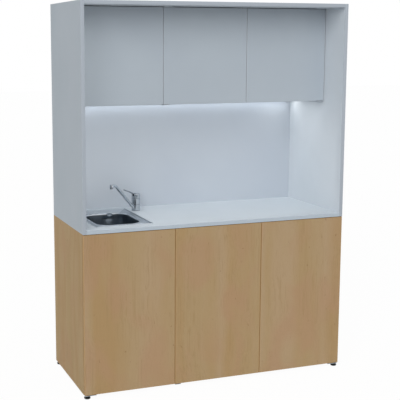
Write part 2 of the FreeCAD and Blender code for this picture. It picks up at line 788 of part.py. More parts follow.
def trap():
    collar = rod("trap_collar", "TailRadius + CollarWall", drain_x, drain_y, tail_low, "CollarHigh")
    bottle = rod("trap_bottle", "TrapRadius", drain_x, drain_y, f"{tail_low} - BottleDrop", "BottleDrop")
    outlet = rod("trap_outlet", "OutletRadius", drain_x, drain_y, outlet_z, f"{rear} - {drain_y} - SocketDepth / 2", "y")
    socket = rod("trap_socket", socket_radius, drain_x, f"{rear} - SocketDepth - OutletWall", outlet_z,
                 "SocketDepth + OutletWall", "y")
    seat = rod("trap_seat", "TailRadius + FitClear", drain_x, drain_y, tail_low, "CollarHigh + Overrun")
    mouth = rod("trap_mouth", "TailRadius - WasteWall", drain_x, drain_y, f"{tail_low} - 2 * OutletWall",
                "2 * OutletWall + Overrun")
    hollow = rod("trap_hollow", "TrapRadius - OutletWall", drain_x, drain_y, f"{tail_low} - BottleDrop + OutletWall",
                 "BottleDrop - 2 * OutletWall")
    bore = rod("trap_bore", "OutletRadius - OutletWall", drain_x, drain_y, outlet_z,
               f"{rear} - {drain_y} - SocketDepth / 2", "y")
    socket_bore = rod("trap_socket_bore", "OutletRadius + SocketClear", drain_x, f"{rear} - SocketDepth", outlet_z,
                      "SocketDepth + Overrun", "y")
    blank = joined("trap_blank", [collar, bottle, outlet, socket])
    keep(cut("waste_trap", blank, [seat, mouth, hollow, bore, socket_bore]))


# Tap: built about its own axis with the spout along +X, then turned and set on the worktop
swivel_low = "(TapBase + RestClear)"
swivel_high = "(TapBase + TapSwivel - RestClear)"
collar_high = "(TapBase + TapSwivel + TapCollar)"
cap_low = f"({collar_high} + RestClear)"
cap_high = f"({cap_low} + TapCap)"
pin_high = f"({cap_high} - LeverDepth)"
tip_share = 0.6


def set_tap(piece):
    """Turns a piece of the tap to the spout's direction and sets it on the worktop."""
    piece.Placement.Rotation = FreeCAD.Rotation(FreeCAD.Vector(0, 0, 1), size("TapAngle"))
    return keep(place(piece, tap_x, tap_y, worktop_top))


def tap_body():
    base = rod("tap_base_ring", "TapRadius", "0", "0", "0", "TapBase")
    core = rod("tap_core", "TapCore", "0", "0", "0", collar_high)
    collar = rod("tap_collar", "TapRadius", "0", "0", "TapBase + TapSwivel", "TapCollar")
    shank = rod("tap_shank", "TapShank", "0", "0", "-TapShankDrop", "TapShankDrop")
    bore = rod("tap_stem_bore", "StemRadius + FitClear", "0", "0", f"{collar_high} - StemDepth - RestClear",
               "StemDepth + Overrun")
    set_tap(cut("tap_body", joined("tap_body_blank", [base, core, collar, shank]), [bore]))


def tap_cap():
    cap = rod("tap_cap_drum", "TapRadius", "0", "0", cap_low, "TapCap")
    stem = rod("tap_cap_stem", "StemRadius", "0", "0", f"{collar_high} - StemDepth", "StemDepth + RestClear + Overrun")
    slot_low = f"({pin_high} - LeverKnuckle - RestClear)"
    slot = block("tap_cap_slot", ("(LeverOffset - LeverKnuckle - RestClear)", "(TapRadius + Overrun)"),
                 ("(-LeverWide / 2 - RestClear)", "(LeverWide / 2 + RestClear)"),
                 (slot_low, f"({cap_high} + Overrun)"))
    cross = rod("tap_cap_pin", "LeverPin", "LeverOffset", "-LeverPinLong / 2", pin_high, "LeverPinLong", "y")
    body = cut("tap_cap_slotted", joined("tap_cap_blank", [cap, stem]), [slot])
    set_tap(joined("tap_cap", [body, cross]))


def tap_nut():
    nut = rod("tap_nut_drum", "TapNut", "0", "0", "-BoardThick - TapNutHigh", "TapNutHigh")
    bore = rod("tap_nut_bore", "TapShank + FitClear", "0", "0", "-BoardThick - TapNutHigh - Overrun",
               "TapNutHigh + 2 * Overrun")
    set_tap(cut("tap_nut", nut, [bore]))
    tails = []
    for side in (-1, 1):
        x = f"{side} * SupplySpacing / 2"
        outer = rod(f"supply_outer_{side}", "SupplyRadius", x, "0", "-TapShankDrop - SupplyLong", "SupplyLong")
        inner = rod(f"supply_inner_{side}", "SupplyRadius - SupplyWall", x, "0", "-TapShankDrop - SupplyLong - Overrun",
                    "SupplyLong + 2 * Overrun")
        tails.append(cut(f"supply_tail_{side}", outer, [inner]))
    set_tap(group("supply_tails", tails))


def spout_path():
    """Middle line of the spout: a rising run, one bend and a short level run to the nozzle."""
    start = FreeCAD.Vector(size("TapCore") + size("SpoutRadius") / 2, 0, size("SpoutStart"))
    corner = FreeCAD.Vector(size("SpoutReach") - size("SpoutFlat"), 0, size("SpoutRise"))
    end = FreeCAD.Vector(size("SpoutReach"), 0, size("SpoutRise"))
    rise = (corner - start).normalize()
    level = (end - corner).normalize()
    turn = rise.getAngle(level)
    tangent = size("SpoutBend") * math.tan(turn / 2)
    bend_start = corner - rise * tangent
    bend_end = corner + level * tangent
    middle = (bend_start + bend_end) / 2
    sagitta = size("SpoutBend") * (1 - math.cos(turn / 2))
    bend_middle = middle + (corner - middle).normalize() * sagitta
    edges = [
        Part.LineSegment(start, bend_start).toShape(),
        Part.Arc(bend_start, bend_middle, bend_end).toShape(),
        Part.LineSegment(bend_end, end).toShape(),
    ]
    return Part.Wire(edges), start, rise


def tap_spout():
    path, start, rise = spout_path()
    section = Part.Wire([Part.makeCircle(size("SpoutRadius"), start, rise)])
    tube = doc.addObject("Part::Feature", "spout_tube")
    tube.Shape = path.makePipeShell([section], True, False)
    ring = rod("spout_ring", "TapRadius", "0", "0", swivel_low, f"{swivel_high} - {swivel_low}")
    bore = rod("spout_ring_bore", "TapCore + FitClear", "0", "0", "0", f"{swivel_high} + Overrun")
    nozzle_low = "(SpoutRise - SpoutRadius - AeratorHigh - RestClear)"
    nozzle = rod("spout_nozzle", "NozzleRadius", "SpoutReach", "0", f"{nozzle_low} + AeratorHigh",
                 "NozzleHigh - AeratorHigh")
    seat = rod("aerator_seat", "AeratorNeck + FitClear", "SpoutReach", "0", nozzle_low,
               "AeratorHigh + AeratorNeck + RestClear")
    set_tap(cut("tap_spout", joined("spout_blank", [tube, ring, nozzle]), [bore, seat]))
    skirt = rod("aerator_skirt", "NozzleRadius", "SpoutReach", "0", nozzle_low, "AeratorHigh")
    neck = rod("aerator_neck", "AeratorNeck", "SpoutReach", "0", nozzle_low, "AeratorHigh + AeratorNeck")
    water = rod("aerator_bore", "AeratorBore", "SpoutReach", "0", f"{nozzle_low} - Overrun", "AeratorHigh + Overrun")
    set_tap(cut("tap_aerator", joined("aerator_blank", [skirt, neck]), [water]))


def tap_lever():
    """A knuckle on the cap's cross pin, with a thin blade that rises towards its tip."""
    knuckle = rod("lever_knuckle", "LeverKnuckle", "LeverOffset", "-LeverWide / 2", pin_high, "LeverWide", "y")
    bore = rod("lever_bore", "LeverPin + FitClear", "LeverOffset", "-LeverWide", pin_high, "2 * LeverWide", "y")
    reach = size("LeverReach") - size("LeverOffset")
    rise = size("LeverRise")
    thick = size("LeverThick")
    edge = -size("LeverWide") / 2
    points = [(0, -thick / 2), (reach, rise), (reach, rise + thick * tip_share), (0, thick / 2)]
    corners = [FreeCAD.Vector(along, edge, high) for along, high in points]
    blade = doc.addObject("Part::Feature", "lever_blade")
    side = Part.Face(Part.makePolygon(corners + corners[:1]))
    blade.Shape = side.extrude(FreeCAD.Vector(0, size("LeverWide"), 0))
    place(blade, "LeverOffset", "0", pin_high)
    set_tap(cut("tap_lever", joined("lever_blank", [knuckle, blade]), [bore]))


# Light under the wall cabinet, hidden behind the lower edge of its doors
def light():
    across = (f"({left} + LightEndGap)", f"({right} - LightEndGap)")
    deep_end = f"({inner_rear} - LightBackGap)"
    face = f"({deep_end} - LightDeep)"
    low = f"({wall_under} - LightHigh)"
    rocker_x = f"({right} - LightEndGap - RockerInset)"
    rocker_z = f"({wall_under} - LightHigh / 2)"
    case = block("light_case", across, (face, deep_end), (low, wall_under))
    pocket = block("light_pocket",
                   (f"({rocker_x} - RockerWide / 2 - RockerProud)", f"({rocker_x} + RockerWide / 2 + RockerProud)"),
                   (f"({face} - Overrun)", f"({face} + RockerDeep)"),
                   (f"({rocker_z} - RockerHigh / 2 - RestClear)", f"({rocker_z} + RockerHigh / 2 + RestClear)"))
    keep(cut("light_housing", case, [pocket]))
    span = (f"({left} + LightEndGap + DiffuserInset)", f"({right} - LightEndGap - DiffuserInset)")
    deep = (f"({face} + DiffuserInset)", f"({deep_end} - DiffuserInset)")
    keep(block("light_diffuser", span, deep, (f"({low} - DiffuserThick)", low)))
    rocker = block("rocker_block", ("(-RockerWide / 2)", "(RockerWide / 2)"), ("(-RockerProud)", "(RockerDeep / 2)"),
                   ("(-RockerHigh / 2)", "(RockerHigh / 2)"))
    switch = group("light_switch", [rocker])
    switch.Placement.Rotation = FreeCAD.Rotation(FreeCAD.Vector(0, 0, 1), -size("RockerTilt"))
    keep(place(switch, rocker_x, face, rocker_z))


base_cabinet()
rails_and_shelves()
worktop()
hutch()
doors_and_pivots()
latches()
feet()
sink()
waste()
trap()
tap_body()
tap_spout()
tap_cap()
tap_lever()
tap_nut()
light()
doc.recompute()

# Every object must have built, and every sub-part must be one valid shape, before anything is written
for item in doc.Objects:
    if "Invalid" in item.State or "Error" in item.State:
        raise RuntimeError(f"{item.Name} did not build: {item.State}")
for piece in nodes:
    piece.Label = piece.Name
    if piece.Shape.isNull() or not piece.Shape.isValid():
        raise RuntimeError(f"{piece.Name} has no valid shape")

os.makedirs("parts", exist_ok=True)
for piece in nodes:
    piece.Shape.exportStep(f"parts/{piece.Name}.step")
    print(piece.Name, len(piece.Shape.Solids), round(piece.Shape.Volume))
print(len(nodes), "nodes")
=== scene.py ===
import bmesh
import bpy
import json
import math
from mathutils import Matrix, Vector


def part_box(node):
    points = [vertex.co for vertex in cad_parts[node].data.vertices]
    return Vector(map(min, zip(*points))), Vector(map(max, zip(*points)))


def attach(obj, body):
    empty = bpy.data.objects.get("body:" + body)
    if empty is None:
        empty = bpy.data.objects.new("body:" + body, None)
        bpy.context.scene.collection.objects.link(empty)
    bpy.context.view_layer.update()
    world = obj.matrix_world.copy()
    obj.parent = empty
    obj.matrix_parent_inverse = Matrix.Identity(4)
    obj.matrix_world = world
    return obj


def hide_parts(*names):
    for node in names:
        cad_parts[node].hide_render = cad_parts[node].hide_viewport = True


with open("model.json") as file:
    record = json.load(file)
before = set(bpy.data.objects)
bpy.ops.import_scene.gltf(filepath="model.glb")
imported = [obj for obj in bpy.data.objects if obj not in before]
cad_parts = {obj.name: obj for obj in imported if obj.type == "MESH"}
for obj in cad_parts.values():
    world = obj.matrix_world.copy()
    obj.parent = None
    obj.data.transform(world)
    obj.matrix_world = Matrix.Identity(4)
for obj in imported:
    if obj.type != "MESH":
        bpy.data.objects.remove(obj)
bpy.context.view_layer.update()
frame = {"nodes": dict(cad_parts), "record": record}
mm = 0.001
weldGap = 0.001 * mm  # points nearer than this are one
upAxis = Vector((0, 0, 1))

# Kitchenette unit: wood-look base, steel sink and chrome tap, lit niche and white wall cabinet.
# Blender works in metres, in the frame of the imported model: +X right, the front faces -Y, +Z up.
# Sizes in the dictionaries of the pieces are in millimetres, those of the camera and the studio in metres.


# Node and mesh helpers

def linear(hexColour):  # an sRGB hex colour as the linear one that a shader takes
    parts = [int(hexColour[start:start + 2], 16) / 255 for start in (1, 3, 5)]
    return [part / 12.92 if part <= 0.04045 else ((part + 0.055) / 1.055) ** 2.4 for part in parts] + [1]


def addNode(tree, kind, settings={}, links={}):  # kind is the node's type without its ShaderNode
    # A key is a property, a socket's name or number, or "stops" for a ramp's (place, colour) pairs
    node = tree.nodes.new("ShaderNode" + kind)
    for key, value in {**settings, **links}.items():
        if key == "stops":
            elements = node.color_ramp.elements
            while len(elements) < len(value):
                elements.new(1)
            for element, (spot, colour) in zip(elements, value):
                element.position = spot
                element.color = linear(colour) if isinstance(colour, str) else (colour, colour, colour, 1)
        elif isinstance(key, str) and hasattr(node, key):
            setattr(node, key, value)
        else:
            socket = next(item for number, item in enumerate(node.inputs)
                          if number == key or (item.enabled and item.name == key))
            if isinstance(value, bpy.types.Node):
                value = next(item for item in value.outputs if item.enabled)
            if isinstance(value, bpy.types.NodeSocket):
                tree.links.new(value, socket)
            else:
                socket.default_value = linear(value) if isinstance(value, str) else value
    return node


def startMaterial(name):  # an empty material, and each piece's own coordinates in metres
    material = bpy.data.materials.new(name)
    material.use_nodes = True
    tree = material.node_tree
    tree.nodes.clear()
    return material, tree, addNode(tree, "TexCoord").outputs["Object"]


def newObject(name, data):  # an object of that name in the scene
    made = bpy.data.objects.new(name, data)
    bpy.context.scene.collection.objects.link(made)
    return made


def bodyOf(node):
    return next(body for body, members in frame["record"]["behaviour"]["bodies"].items() if node in members)


def finishPiece(name, bm, looks, nodes, smoothAngle=30):  # a piece in place of the nodes, with finishes by name
    bmesh.ops.recalc_face_normals(bm, faces=bm.faces)
    mesh = bpy.data.meshes.new(name)
    bm.to_mesh(mesh)
    bm.free()
    for look in looks:
        mesh.materials.append(finishes[look])
    mesh.polygons.foreach_set("use_smooth", [True] * len(mesh.polygons))
    mesh.set_sharp_from_angle(angle=math.radians(smoothAngle))
    piece = newObject(name, mesh)
    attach(piece, bodyOf(nodes[0]))
    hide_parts(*nodes)


def bevelEdges(bm, width, segments=2, angle=30):  # breaks the edges sharper than an angle
    edges = [edge for edge in bm.edges if edge.is_manifold and edge.calc_face_angle() > math.radians(angle)]
    bmesh.ops.bevel(bm, geom=edges, offset=width * mm, segments=segments, profile=0.5, affect="EDGES",
                    material=-1, clamp_overlap=True)


def nodeCopy(node):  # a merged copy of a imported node, with its flat faces whole again
    bm = bmesh.new()
    bm.from_mesh(frame["nodes"][node].data)
    bmesh.ops.remove_doubles(bm, verts=bm.verts, dist=5 * weldGap)
    bmesh.ops.dissolve_limit(bm, angle_limit=math.radians(1), verts=bm.verts, edges=bm.edges)
    return bm


def softened(node, look, width, segments=2):  # a node with its sharp edges broken
    bm = nodeCopy(node)
    bevelEdges(bm, width, segments)
    finishPiece(node + "Softened", bm, [look], [node])


def turned(outline, steps, centre=Vector((0, 0, 0))):  # (radius, height) points spun round a centre in metres
    bm = bmesh.new()
    verts = [bm.verts.new((centre[0] + radius * mm, centre[1], centre[2] + height * mm))
             for radius, height in outline]
    edges = [bm.edges.new(pair) for pair in zip(verts, verts[1:])]
    bmesh.ops.spin(bm, geom=verts + edges, cent=centre, axis=upAxis, angle=2 * math.pi, steps=steps,
                   use_merge=True)
    bmesh.ops.remove_doubles(bm, verts=bm.verts, dist=weldGap)
    return bm


def extruded(bm, edges):  # the new verts and edges of a skin that goes on from a ring of edges
    made = bmesh.ops.extrude_edge_only(bm, edges=edges)["geom"]
    fresh = [item for item in made if isinstance(item, bmesh.types.BMVert)]
    return fresh, [item for item in made if isinstance(item, bmesh.types.BMEdge)
                   and all(vert in fresh for vert in item.verts)]


def stacked(rings, segments=64, rearCuts=40):
    # A skin through level rounded rectangles, each (low, high, corner radius, height).
    # The rear run is cut finer, so that a notch can be pressed into it
    bm = bmesh.new()
    turn = Matrix.Rotation(math.pi / segments, 4, "Z")
    bmesh.ops.create_circle(bm, segments=segments, radius=1, matrix=turn)
    rear = max(bm.edges, key=lambda edge: edge.verts[0].co.y + edge.verts[1].co.y)
    bmesh.ops.subdivide_edges(bm, edges=[rear], cuts=rearCuts)
    edges = bm.edges[:]
    ways = {vert: vert.co.copy() for vert in bm.verts}
    half = math.sin(math.pi / segments)
    for number, (low, high, radius, height) in enumerate(rings):
        if number:
            fresh, edges = extruded(bm, edges)
            ways = {vert: next(ways[edge.other_vert(vert)] for edge in vert.link_edges
                               if edge.other_vert(vert) in ways) for vert in fresh}
        middle = ((low[0] + high[0]) / 2, (low[1] + high[1]) / 2)
        reach = ((high[0] - low[0]) / 2 - radius, (high[1] - low[1]) / 2 - radius)
        for vert, way in ways.items():
            slide = [max(-1, min(1, share / half)) for share in way.xy]
            vert.co = Vector((middle[0] + slide[0] * reach[0] + way.x * radius,
                              middle[1] + slide[1] * reach[1] + way.y * radius, height)) * mm
    bmesh.ops.remove_doubles(bm, verts=bm.verts, dist=weldGap)
    return bm


def tube(points, radius, steps=32):  # a round bar along points, closed at both ends
    bm = bmesh.new()
    points = [Vector(point) * mm for point in points]
    ahead = [(points[1] - points[0]).normalized()]
    for before, spot, after in zip(points, points[1:], points[2:]):
        ahead.append(((spot - before).normalized() + (after - spot).normalized()).normalized())
    ahead.append((points[-1] - points[-2]).normalized())
    turn = Matrix.Translation(points[0]) @ upAxis.rotation_difference(ahead[0]).to_matrix().to_4x4()
    ring = bmesh.ops.create_circle(bm, cap_ends=True, segments=steps, radius=radius * mm, matrix=turn)["verts"]
    edges = list({edge for vert in ring for edge in vert.link_edges})
    for number in range(1, len(points)):
        ring, edges = extruded(bm, edges)
        bmesh.ops.translate(bm, verts=ring, vec=points[number] - points[number - 1])
        turn = ahead[number - 1].rotation_difference(ahead[number]).to_matrix()
        bmesh.ops.rotate(bm, verts=ring, cent=points[number], matrix=turn)
    bmesh.ops.edgeloop_fill(bm, edges=edges)
    return bm


def joinInto(bm, part):  # adds a finished shape to another mesh
    bmesh.ops.recalc_face_normals(part, faces=part.faces)
    held = bpy.data.meshes.new("held")
    part.to_mesh(held)
    part.free()
    bm.from_mesh(held)
    bpy.data.meshes.remove(held)


def block(low, high):  # a box between two corners
    middle = [(first + second) / 2 * mm for first, second in zip(low, high)]
    size = [abs(second - first) * mm for first, second in zip(low, high)]
    bm = bmesh.new()
    bmesh.ops.create_cube(bm, size=1, matrix=Matrix.LocRotScale(middle, None, size))
    return bm


def carved(bm, cutter):  # takes one closed shape out of another
    held = []
    for shape in (bm, cutter):
        bmesh.ops.recalc_face_normals(shape, faces=shape.faces)
        mesh = bpy.data.meshes.new("held")
        shape.to_mesh(mesh)
        shape.free()
        held.append(newObject("held", mesh))
    work = held[0].modifiers.new("cut", "BOOLEAN")
    work.operation = "DIFFERENCE"
    work.solver = "EXACT"
    work.object = held[1]
    seen = held[0].evaluated_get(bpy.context.evaluated_depsgraph_get())
    result = bmesh.new()
    result.from_mesh(seen.to_mesh())
    for item in held:
        mesh = item.data
        bpy.data.objects.remove(item)
        bpy.data.meshes.remove(mesh)
    return result


# Camera, light and studio

cameraChoices = {"lens": 83.7, "shift": (0.1124, -0.0404), "place": (-1.9966, -4.7312, 1.830),
                 "turn": (math.pi / 2 - 0.15082, 0, -0.35307)}
studioChoices = {"worldStrength": 0.44, "keyStrength": 1.9, "keySoftness": 50, "keyFrom": (-0.45, -0.77, 0.42),
                 "floorSize": 60, "floorColour": "#e4e4e4", "floorWhite": 0.94, "floorGlow": 1.02}
# Weak area lamps that light the niche as its strip light and the bounce between its walls do: (power in watts,
# size, place, turn), and for a lamp near a wall the only pieces that it lights, so that the wall gets no streak
facingDown = (0, 0, 0)
facingBack = (math.pi / 2, 0, 0)
facingRight = (0, -math.pi / 2, 0)
underStrip = 1.4995
nicheColour = "#fffdf8"
nicheLamps = {
    "stripRear": (0.35, (1.4, 0.12), (0, 0.14, underStrip), facingDown),
    "stripFront": (0.36, (1.4, 0.1), (0, 0.03, underStrip), facingDown),
    "stripEndLeft": (0.062, (0.16, 0.06), (-0.63, 0.2, underStrip), facingDown),
    "stripEndRight": (0.12, (0.16, 0.06), (0.63, 0.2, underStrip), facingDown),
    "bounceLeft": (0.48, (0.4, 0.05), (-0.7, -0.08, 1.15), (0, -math.pi / 2, math.radians(60)),
                   "splashbackSoftened", "hutch_side_rightPanel"),
    "bounceCorner": (0.15, (0.3, 0.05), (-0.7, 0.1, 1.06), (0, -math.pi / 2, math.radians(80)),
                     "splashbackSoftened"),
    "stripWall": (0.014, (0.03, 0.3), (0.64, 0.1, 1.485), facingRight),
    "stripCorner": (0.06, (0.1, 0.03), (0.655, 0.245, underStrip), facingDown),
    "doorLeft": (0.122, (0.015, 0.46), (-0.72, -0.2, 1.69), facingBack, "door_upper_leftPanel"),
    "bounceRight": (0.106, (0.4, 0.4), (0.5, -0.27, 1.17), facingBack),
    "bounceLow": (0.063, (1.3, 0.1), (0, -0.25, 0.98), facingBack),
    "worktopLeft": (0.17, (0.6, 0.3), (-0.35, 0, 1.4), facingDown, "worktopBoard"),
    "worktopFront": (0.11, (1.2, 0.04), (-0.11, -0.25, 1.02), facingDown)}
# Cards that only glossy surfaces see: a dark one beside the camera draws the dark streak down the chrome, and a
# grey one before the worktop stands for the room's floor
cardChoices = {
    "darkCard": {"size": (1.5, 2.6), "place": (-1.75, -2.2, 1.2), "turn": (math.pi / 2, 0, math.radians(-34)),
                 "colour": "#0a0b0c"},
    "greyCard": {"size": (2.4, 2.0), "place": (0, -1.36, 0.84), "turn": (0, 0, 0), "colour": "#9fa8b0"}}


def setCamera():
    data = bpy.data.cameras.new("photoCamera")
    data.sensor_width = 36
    data.lens = cameraChoices["lens"]
    data.shift_x, data.shift_y = cameraChoices["shift"]
    camera = newObject("photoCamera", data)
    camera.location = cameraChoices["place"]
    camera.rotation_euler = cameraChoices["turn"]
    bpy.context.scene.camera = camera


def seenShare(tree):  # 1 for the rays that see the white studio itself: from the camera, a gloss or a glass
    path = addNode(tree, "LightPath")
    share = addNode(tree, "Math", {"operation": "MAXIMUM"},
                    {0: path.outputs["Is Camera Ray"], 1: path.outputs["Is Glossy Ray"]})
    return addNode(tree, "Math", {"operation": "MAXIMUM"},
                   {0: share, 1: path.outputs["Is Transmission Ray"]})


def setWorld():
    world = bpy.data.worlds.new("studio")
    bpy.context.scene.world = world
    world.use_nodes = True
    tree = world.node_tree
    tree.nodes.clear()
    soft = addNode(tree, "Background", {"Color": "#ffffff", "Strength": studioChoices["worldStrength"]})
    white = addNode(tree, "Background", {"Color": "#ffffff", "Strength": 1.0})
    mixed = addNode(tree, "MixShader", {}, {0: seenShare(tree), 1: soft, 2: white})
    addNode(tree, "OutputWorld", {}, {"Surface": mixed})


def setLamps():
    lamp = bpy.data.lights.new("keyLight", "SUN")
    lamp.energy = studioChoices["keyStrength"]
    lamp.angle = math.radians(studioChoices["keySoftness"])
    key = newObject("keyLight", lamp)
    key.rotation_euler = (-Vector(studioChoices["keyFrom"])).to_track_quat("-Z", "Y").to_euler()
    key.visible_glossy = False
    for name, (power, size, place, turn, *onto) in nicheLamps.items():
        lamp = bpy.data.lights.new(name, "AREA")
        lamp.energy = power
        lamp.color = linear(nicheColour)[:3]
        lamp.shape = "RECTANGLE"
        lamp.size, lamp.size_y = size
        glow = newObject(name, lamp)
        glow.location = place
        glow.rotation_euler = turn
        glow.visible_camera = False
        glow.visible_glossy = False


def aimLamps():  # once the pieces are made
    for name, (power, size, place, turn, *onto) in nicheLamps.items():
        if onto:
            lit = bpy.data.collections.new(name + "Onto")
            for piece in onto:
                lit.objects.link(bpy.data.objects[piece])
            bpy.data.objects[name].light_linking.receiver_collection = lit


def stagePlane(name, size, material, place, turn=(0, 0, 0)):  # a flat sheet of the studio
    bm = bmesh.new()
    bmesh.ops.create_grid(bm, x_segments=1, y_segments=1, size=0.5)
    bmesh.ops.scale(bm, verts=bm.verts, vec=(size[0], size[1], 1))
    bmesh.ops.rotate(bm, verts=bm.verts, matrix=Matrix.Rotation(turn[0], 3, "X"))
    bmesh.ops.rotate(bm, verts=bm.verts, matrix=Matrix.Rotation(turn[2], 3, "Z"))
    bmesh.ops.translate(bm, verts=bm.verts, vec=place)
    mesh = bpy.data.meshes.new(name)
    bm.to_mesh(mesh)
    bm.free()
    mesh.materials.append(material)
    plane = newObject(name, mesh)
    return plane


def setStage():
    # Pale studio floor, seen almost white with the object's faint shadow
    material, tree = startMaterial("studioFloor")[:2]
    plain = addNode(tree, "BsdfPrincipled", {"Base Color": studioChoices["floorColour"], "Roughness": 0.9,
                                             "Specular IOR Level": 0.0})
    glow = addNode(tree, "Emission", {"Color": "#ffffff", "Strength": studioChoices["floorGlow"]})
    share = addNode(tree, "Math", {"operation": "MULTIPLY", 1: studioChoices["floorWhite"]},
                    {0: seenShare(tree)})
    mixed = addNode(tree, "MixShader", {}, {0: share, 1: plain, 2: glow})
    addNode(tree, "OutputMaterial", {}, {"Surface": mixed})
    stagePlane("studioFloor", (studioChoices["floorSize"],) * 2, material, (0, 0, -0.2 * mm))
    # Matt cards
    for name, choices in cardChoices.items():
        material, tree = startMaterial(name)[:2]
        plain = addNode(tree, "BsdfPrincipled", {"Base Color": choices["colour"], "Roughness": 1.0})
        addNode(tree, "OutputMaterial", {}, {"Surface": plain})
        card = stagePlane(name, choices["size"], material, choices["place"], choices["turn"])
        card.visible_camera = False
        card.visible_diffuse = False
        card.visible_shadow = False
        card.visible_transmission = False


setCamera()
setWorld()
setLamps()
setStage()
bpy.context.scene.view_settings.view_transform = "Standard"
print("camera and studio set")


# Finishes

mapleChoices = {
    "plain": "#a8906c", "pale": "#ac9475", "ochre": "#a68a63", "rose": "#aa886b", "streak": "#9a805c",
    # The sides' edge band is darker than the board, partly its own tone and partly painted shade for the dark
    # line along its rounded edges; the doors' band is painted lighter, to lift the shade in the gaps between
    # the doors
    "fleck": "#86694a", "edge": ("#9a8059", "#a88d66"), "doorEdgePaintedLight": ("#ab8a5e", "#b69469"),
    "ground": [(0.36, "ochre"), (0.5, "pale"), (0.62, "plain")],
    "sway": 0.03,  # metres that the figure strays from straight lines
    "doorShifts": ((2.3, 0.6, 0.3), (3.9, 2.7, 0.9)),  # start of the left door's figure, and the step per door
    "bandSpan": 500, "bandShare": 0.7,
    # Patterns: size in mm along X, Y and Z, and the settings of the noise
    "wander": ((300, 300, 240), {}),
    "patterns": {"band": ((120, 120, 900), {"Detail": 2, "Distortion": 0.3}),
                 "tone": ((190, 190, 330), {"Detail": 1, "Distortion": 0.6}),
                 "zone": ((110, 110, 420), {"Detail": 1}),
                 "streak": ((6, 6, 420), {"Detail": 2, "Distortion": 0.4}),
                 "pore": ((2.4, 2.4, 60), {"Detail": 2}),
                 "fleck": ((12, 12, 26), {"Detail": 0, "Distortion": 0.6})},
    # What is laid over the bands, in order: pattern, colour, and the ramp from the pattern to its share
    "overlays": [("tone", "rose", [(0.48, 0), (0.65, 0.52)]), ("streak", "streak", [(0.48, 0), (0.72, 0.6)]),
                 ("pore", "streak", [(0.5, 0), (0.8, 0.32)]), ("fleck", "fleck", [(0.81, 0), (0.87, 0.55)])],
    "zones": [(0.42, 0.15), (0.6, 1)]}
# How the printed bands lie across each door: (mm from its left edge, band)
doorBands = {"left": [(0, "pale"), (34, "plain"), (52, "ochre"), (150, "ochre"), (230, "plain"), (345, "pale"),
                      (400, "pale"), (470, "plain")],
             "middle": [(0, "ochre"), (45, "ochre"), (75, "plain"), (220, "plain"), (262, "pale"),
                        (310, "ochre"), (480, "plain")],
             "right": [(0, "pale"), (40, "plain"), (95, "pale"), (190, "pale"), (240, "plain"), (330, "plain"),
                       (405, "pale"), (462, "ochre")]}


def grainsOf(tree, place, patterns, shift=(0, 0, 0)):  # noise for each pattern, from its size and settings
    grains = {}
    for pattern, (size, settings) in patterns.items():
        scale = [1 / (length * mm) for length in size]
        at = addNode(tree, "Mapping", {"Scale": scale, "Location": shift}, {"Vector": place})
        grains[pattern] = addNode(tree, "TexNoise", {"Scale": 1.0, **settings}, {"Vector": at})
    return grains


def surfaced(material, tree, colour, shine, relief, settings):
    # Ends a material. Shine is (noise, least and most roughness), relief is (noise, strength, height in mm)
    rough = addNode(tree, "MapRange", {"To Min": shine[1], "To Max": shine[2]}, {"Value": shine[0]})
    bump = addNode(tree, "Bump", {"Strength": relief[1], "Distance": relief[2] * mm}, {"Height": relief[0]})
    shader = addNode(tree, "BsdfPrincipled", settings,
                     {"Base Color": colour, "Roughness": rough, "Normal": bump})
    addNode(tree, "OutputMaterial", {}, {"Surface": shader})
    return material


def mapleLaminate(name, shift, tint="#ffffff", bands=None, left=0.0):
    # Maple-look melamine, printed paper under a satin resin: quiet ochre and pale bands, zones of fine streaks,
    # flecks. Streaks, pores and flecks are drawn several times wider than the printed ones, so that they show
    material, tree, place = startMaterial(name)
    wander = grainsOf(tree, place, {"wander": mapleChoices["wander"]}, shift)["wander"]
    sway = addNode(tree, "MapRange", {"To Min": -mapleChoices["sway"], "To Max": mapleChoices["sway"]},
                   {"Value": wander})
    sway = addNode(tree, "CombineXYZ", {}, {"X": sway, "Y": sway})
    swayed = addNode(tree, "VectorMath", {"operation": "ADD"}, {0: place, 1: sway})
    grain = grainsOf(tree, swayed, mapleChoices["patterns"], shift)
    ground = [(spot, mapleChoices[band]) for spot, band in mapleChoices["ground"]]
    colour = addNode(tree, "ValToRGB", {"stops": ground}, {"Fac": grain["band"]})
    if bands:
        span = mapleChoices["bandSpan"]
        across = addNode(tree, "SeparateXYZ", {}, {"Vector": swayed}).outputs["X"]
        across = addNode(tree, "MapRange", {"From Min": left, "From Max": left + span * mm},
                         {"Value": across})
        stops = [(spot / span, mapleChoices[band]) for spot, band in bands]
        lay = addNode(tree, "ValToRGB", {"stops": stops}, {"Fac": across})
        colour = addNode(tree, "Mix", {"data_type": "RGBA", "Factor": mapleChoices["bandShare"]},
                         {"A": colour, "B": lay})
    for pattern, overlay, stops in mapleChoices["overlays"]:
        share = addNode(tree, "ValToRGB", {"stops": stops}, {"Fac": grain[pattern]})
        if pattern == "streak":
            zone = addNode(tree, "ValToRGB", {"stops": mapleChoices["zones"]}, {"Fac": grain["zone"]})
            share = addNode(tree, "Math", {"operation": "MULTIPLY"}, {0: share, 1: zone})
        colour = addNode(tree, "Mix", {"data_type": "RGBA", "B": mapleChoices[overlay]},
                         {"Factor": share, "A": colour})
    colour = addNode(tree, "Mix",
                     {"data_type": "RGBA", "blend_type": "MULTIPLY", "Factor": 1.0, "B": tint}, {"A": colour})
    return surfaced(material, tree, colour, (grain["pore"], 0.44, 0.58), (grain["pore"], 0.3, 0.04),
                    {"Specular IOR Level": 0.08})


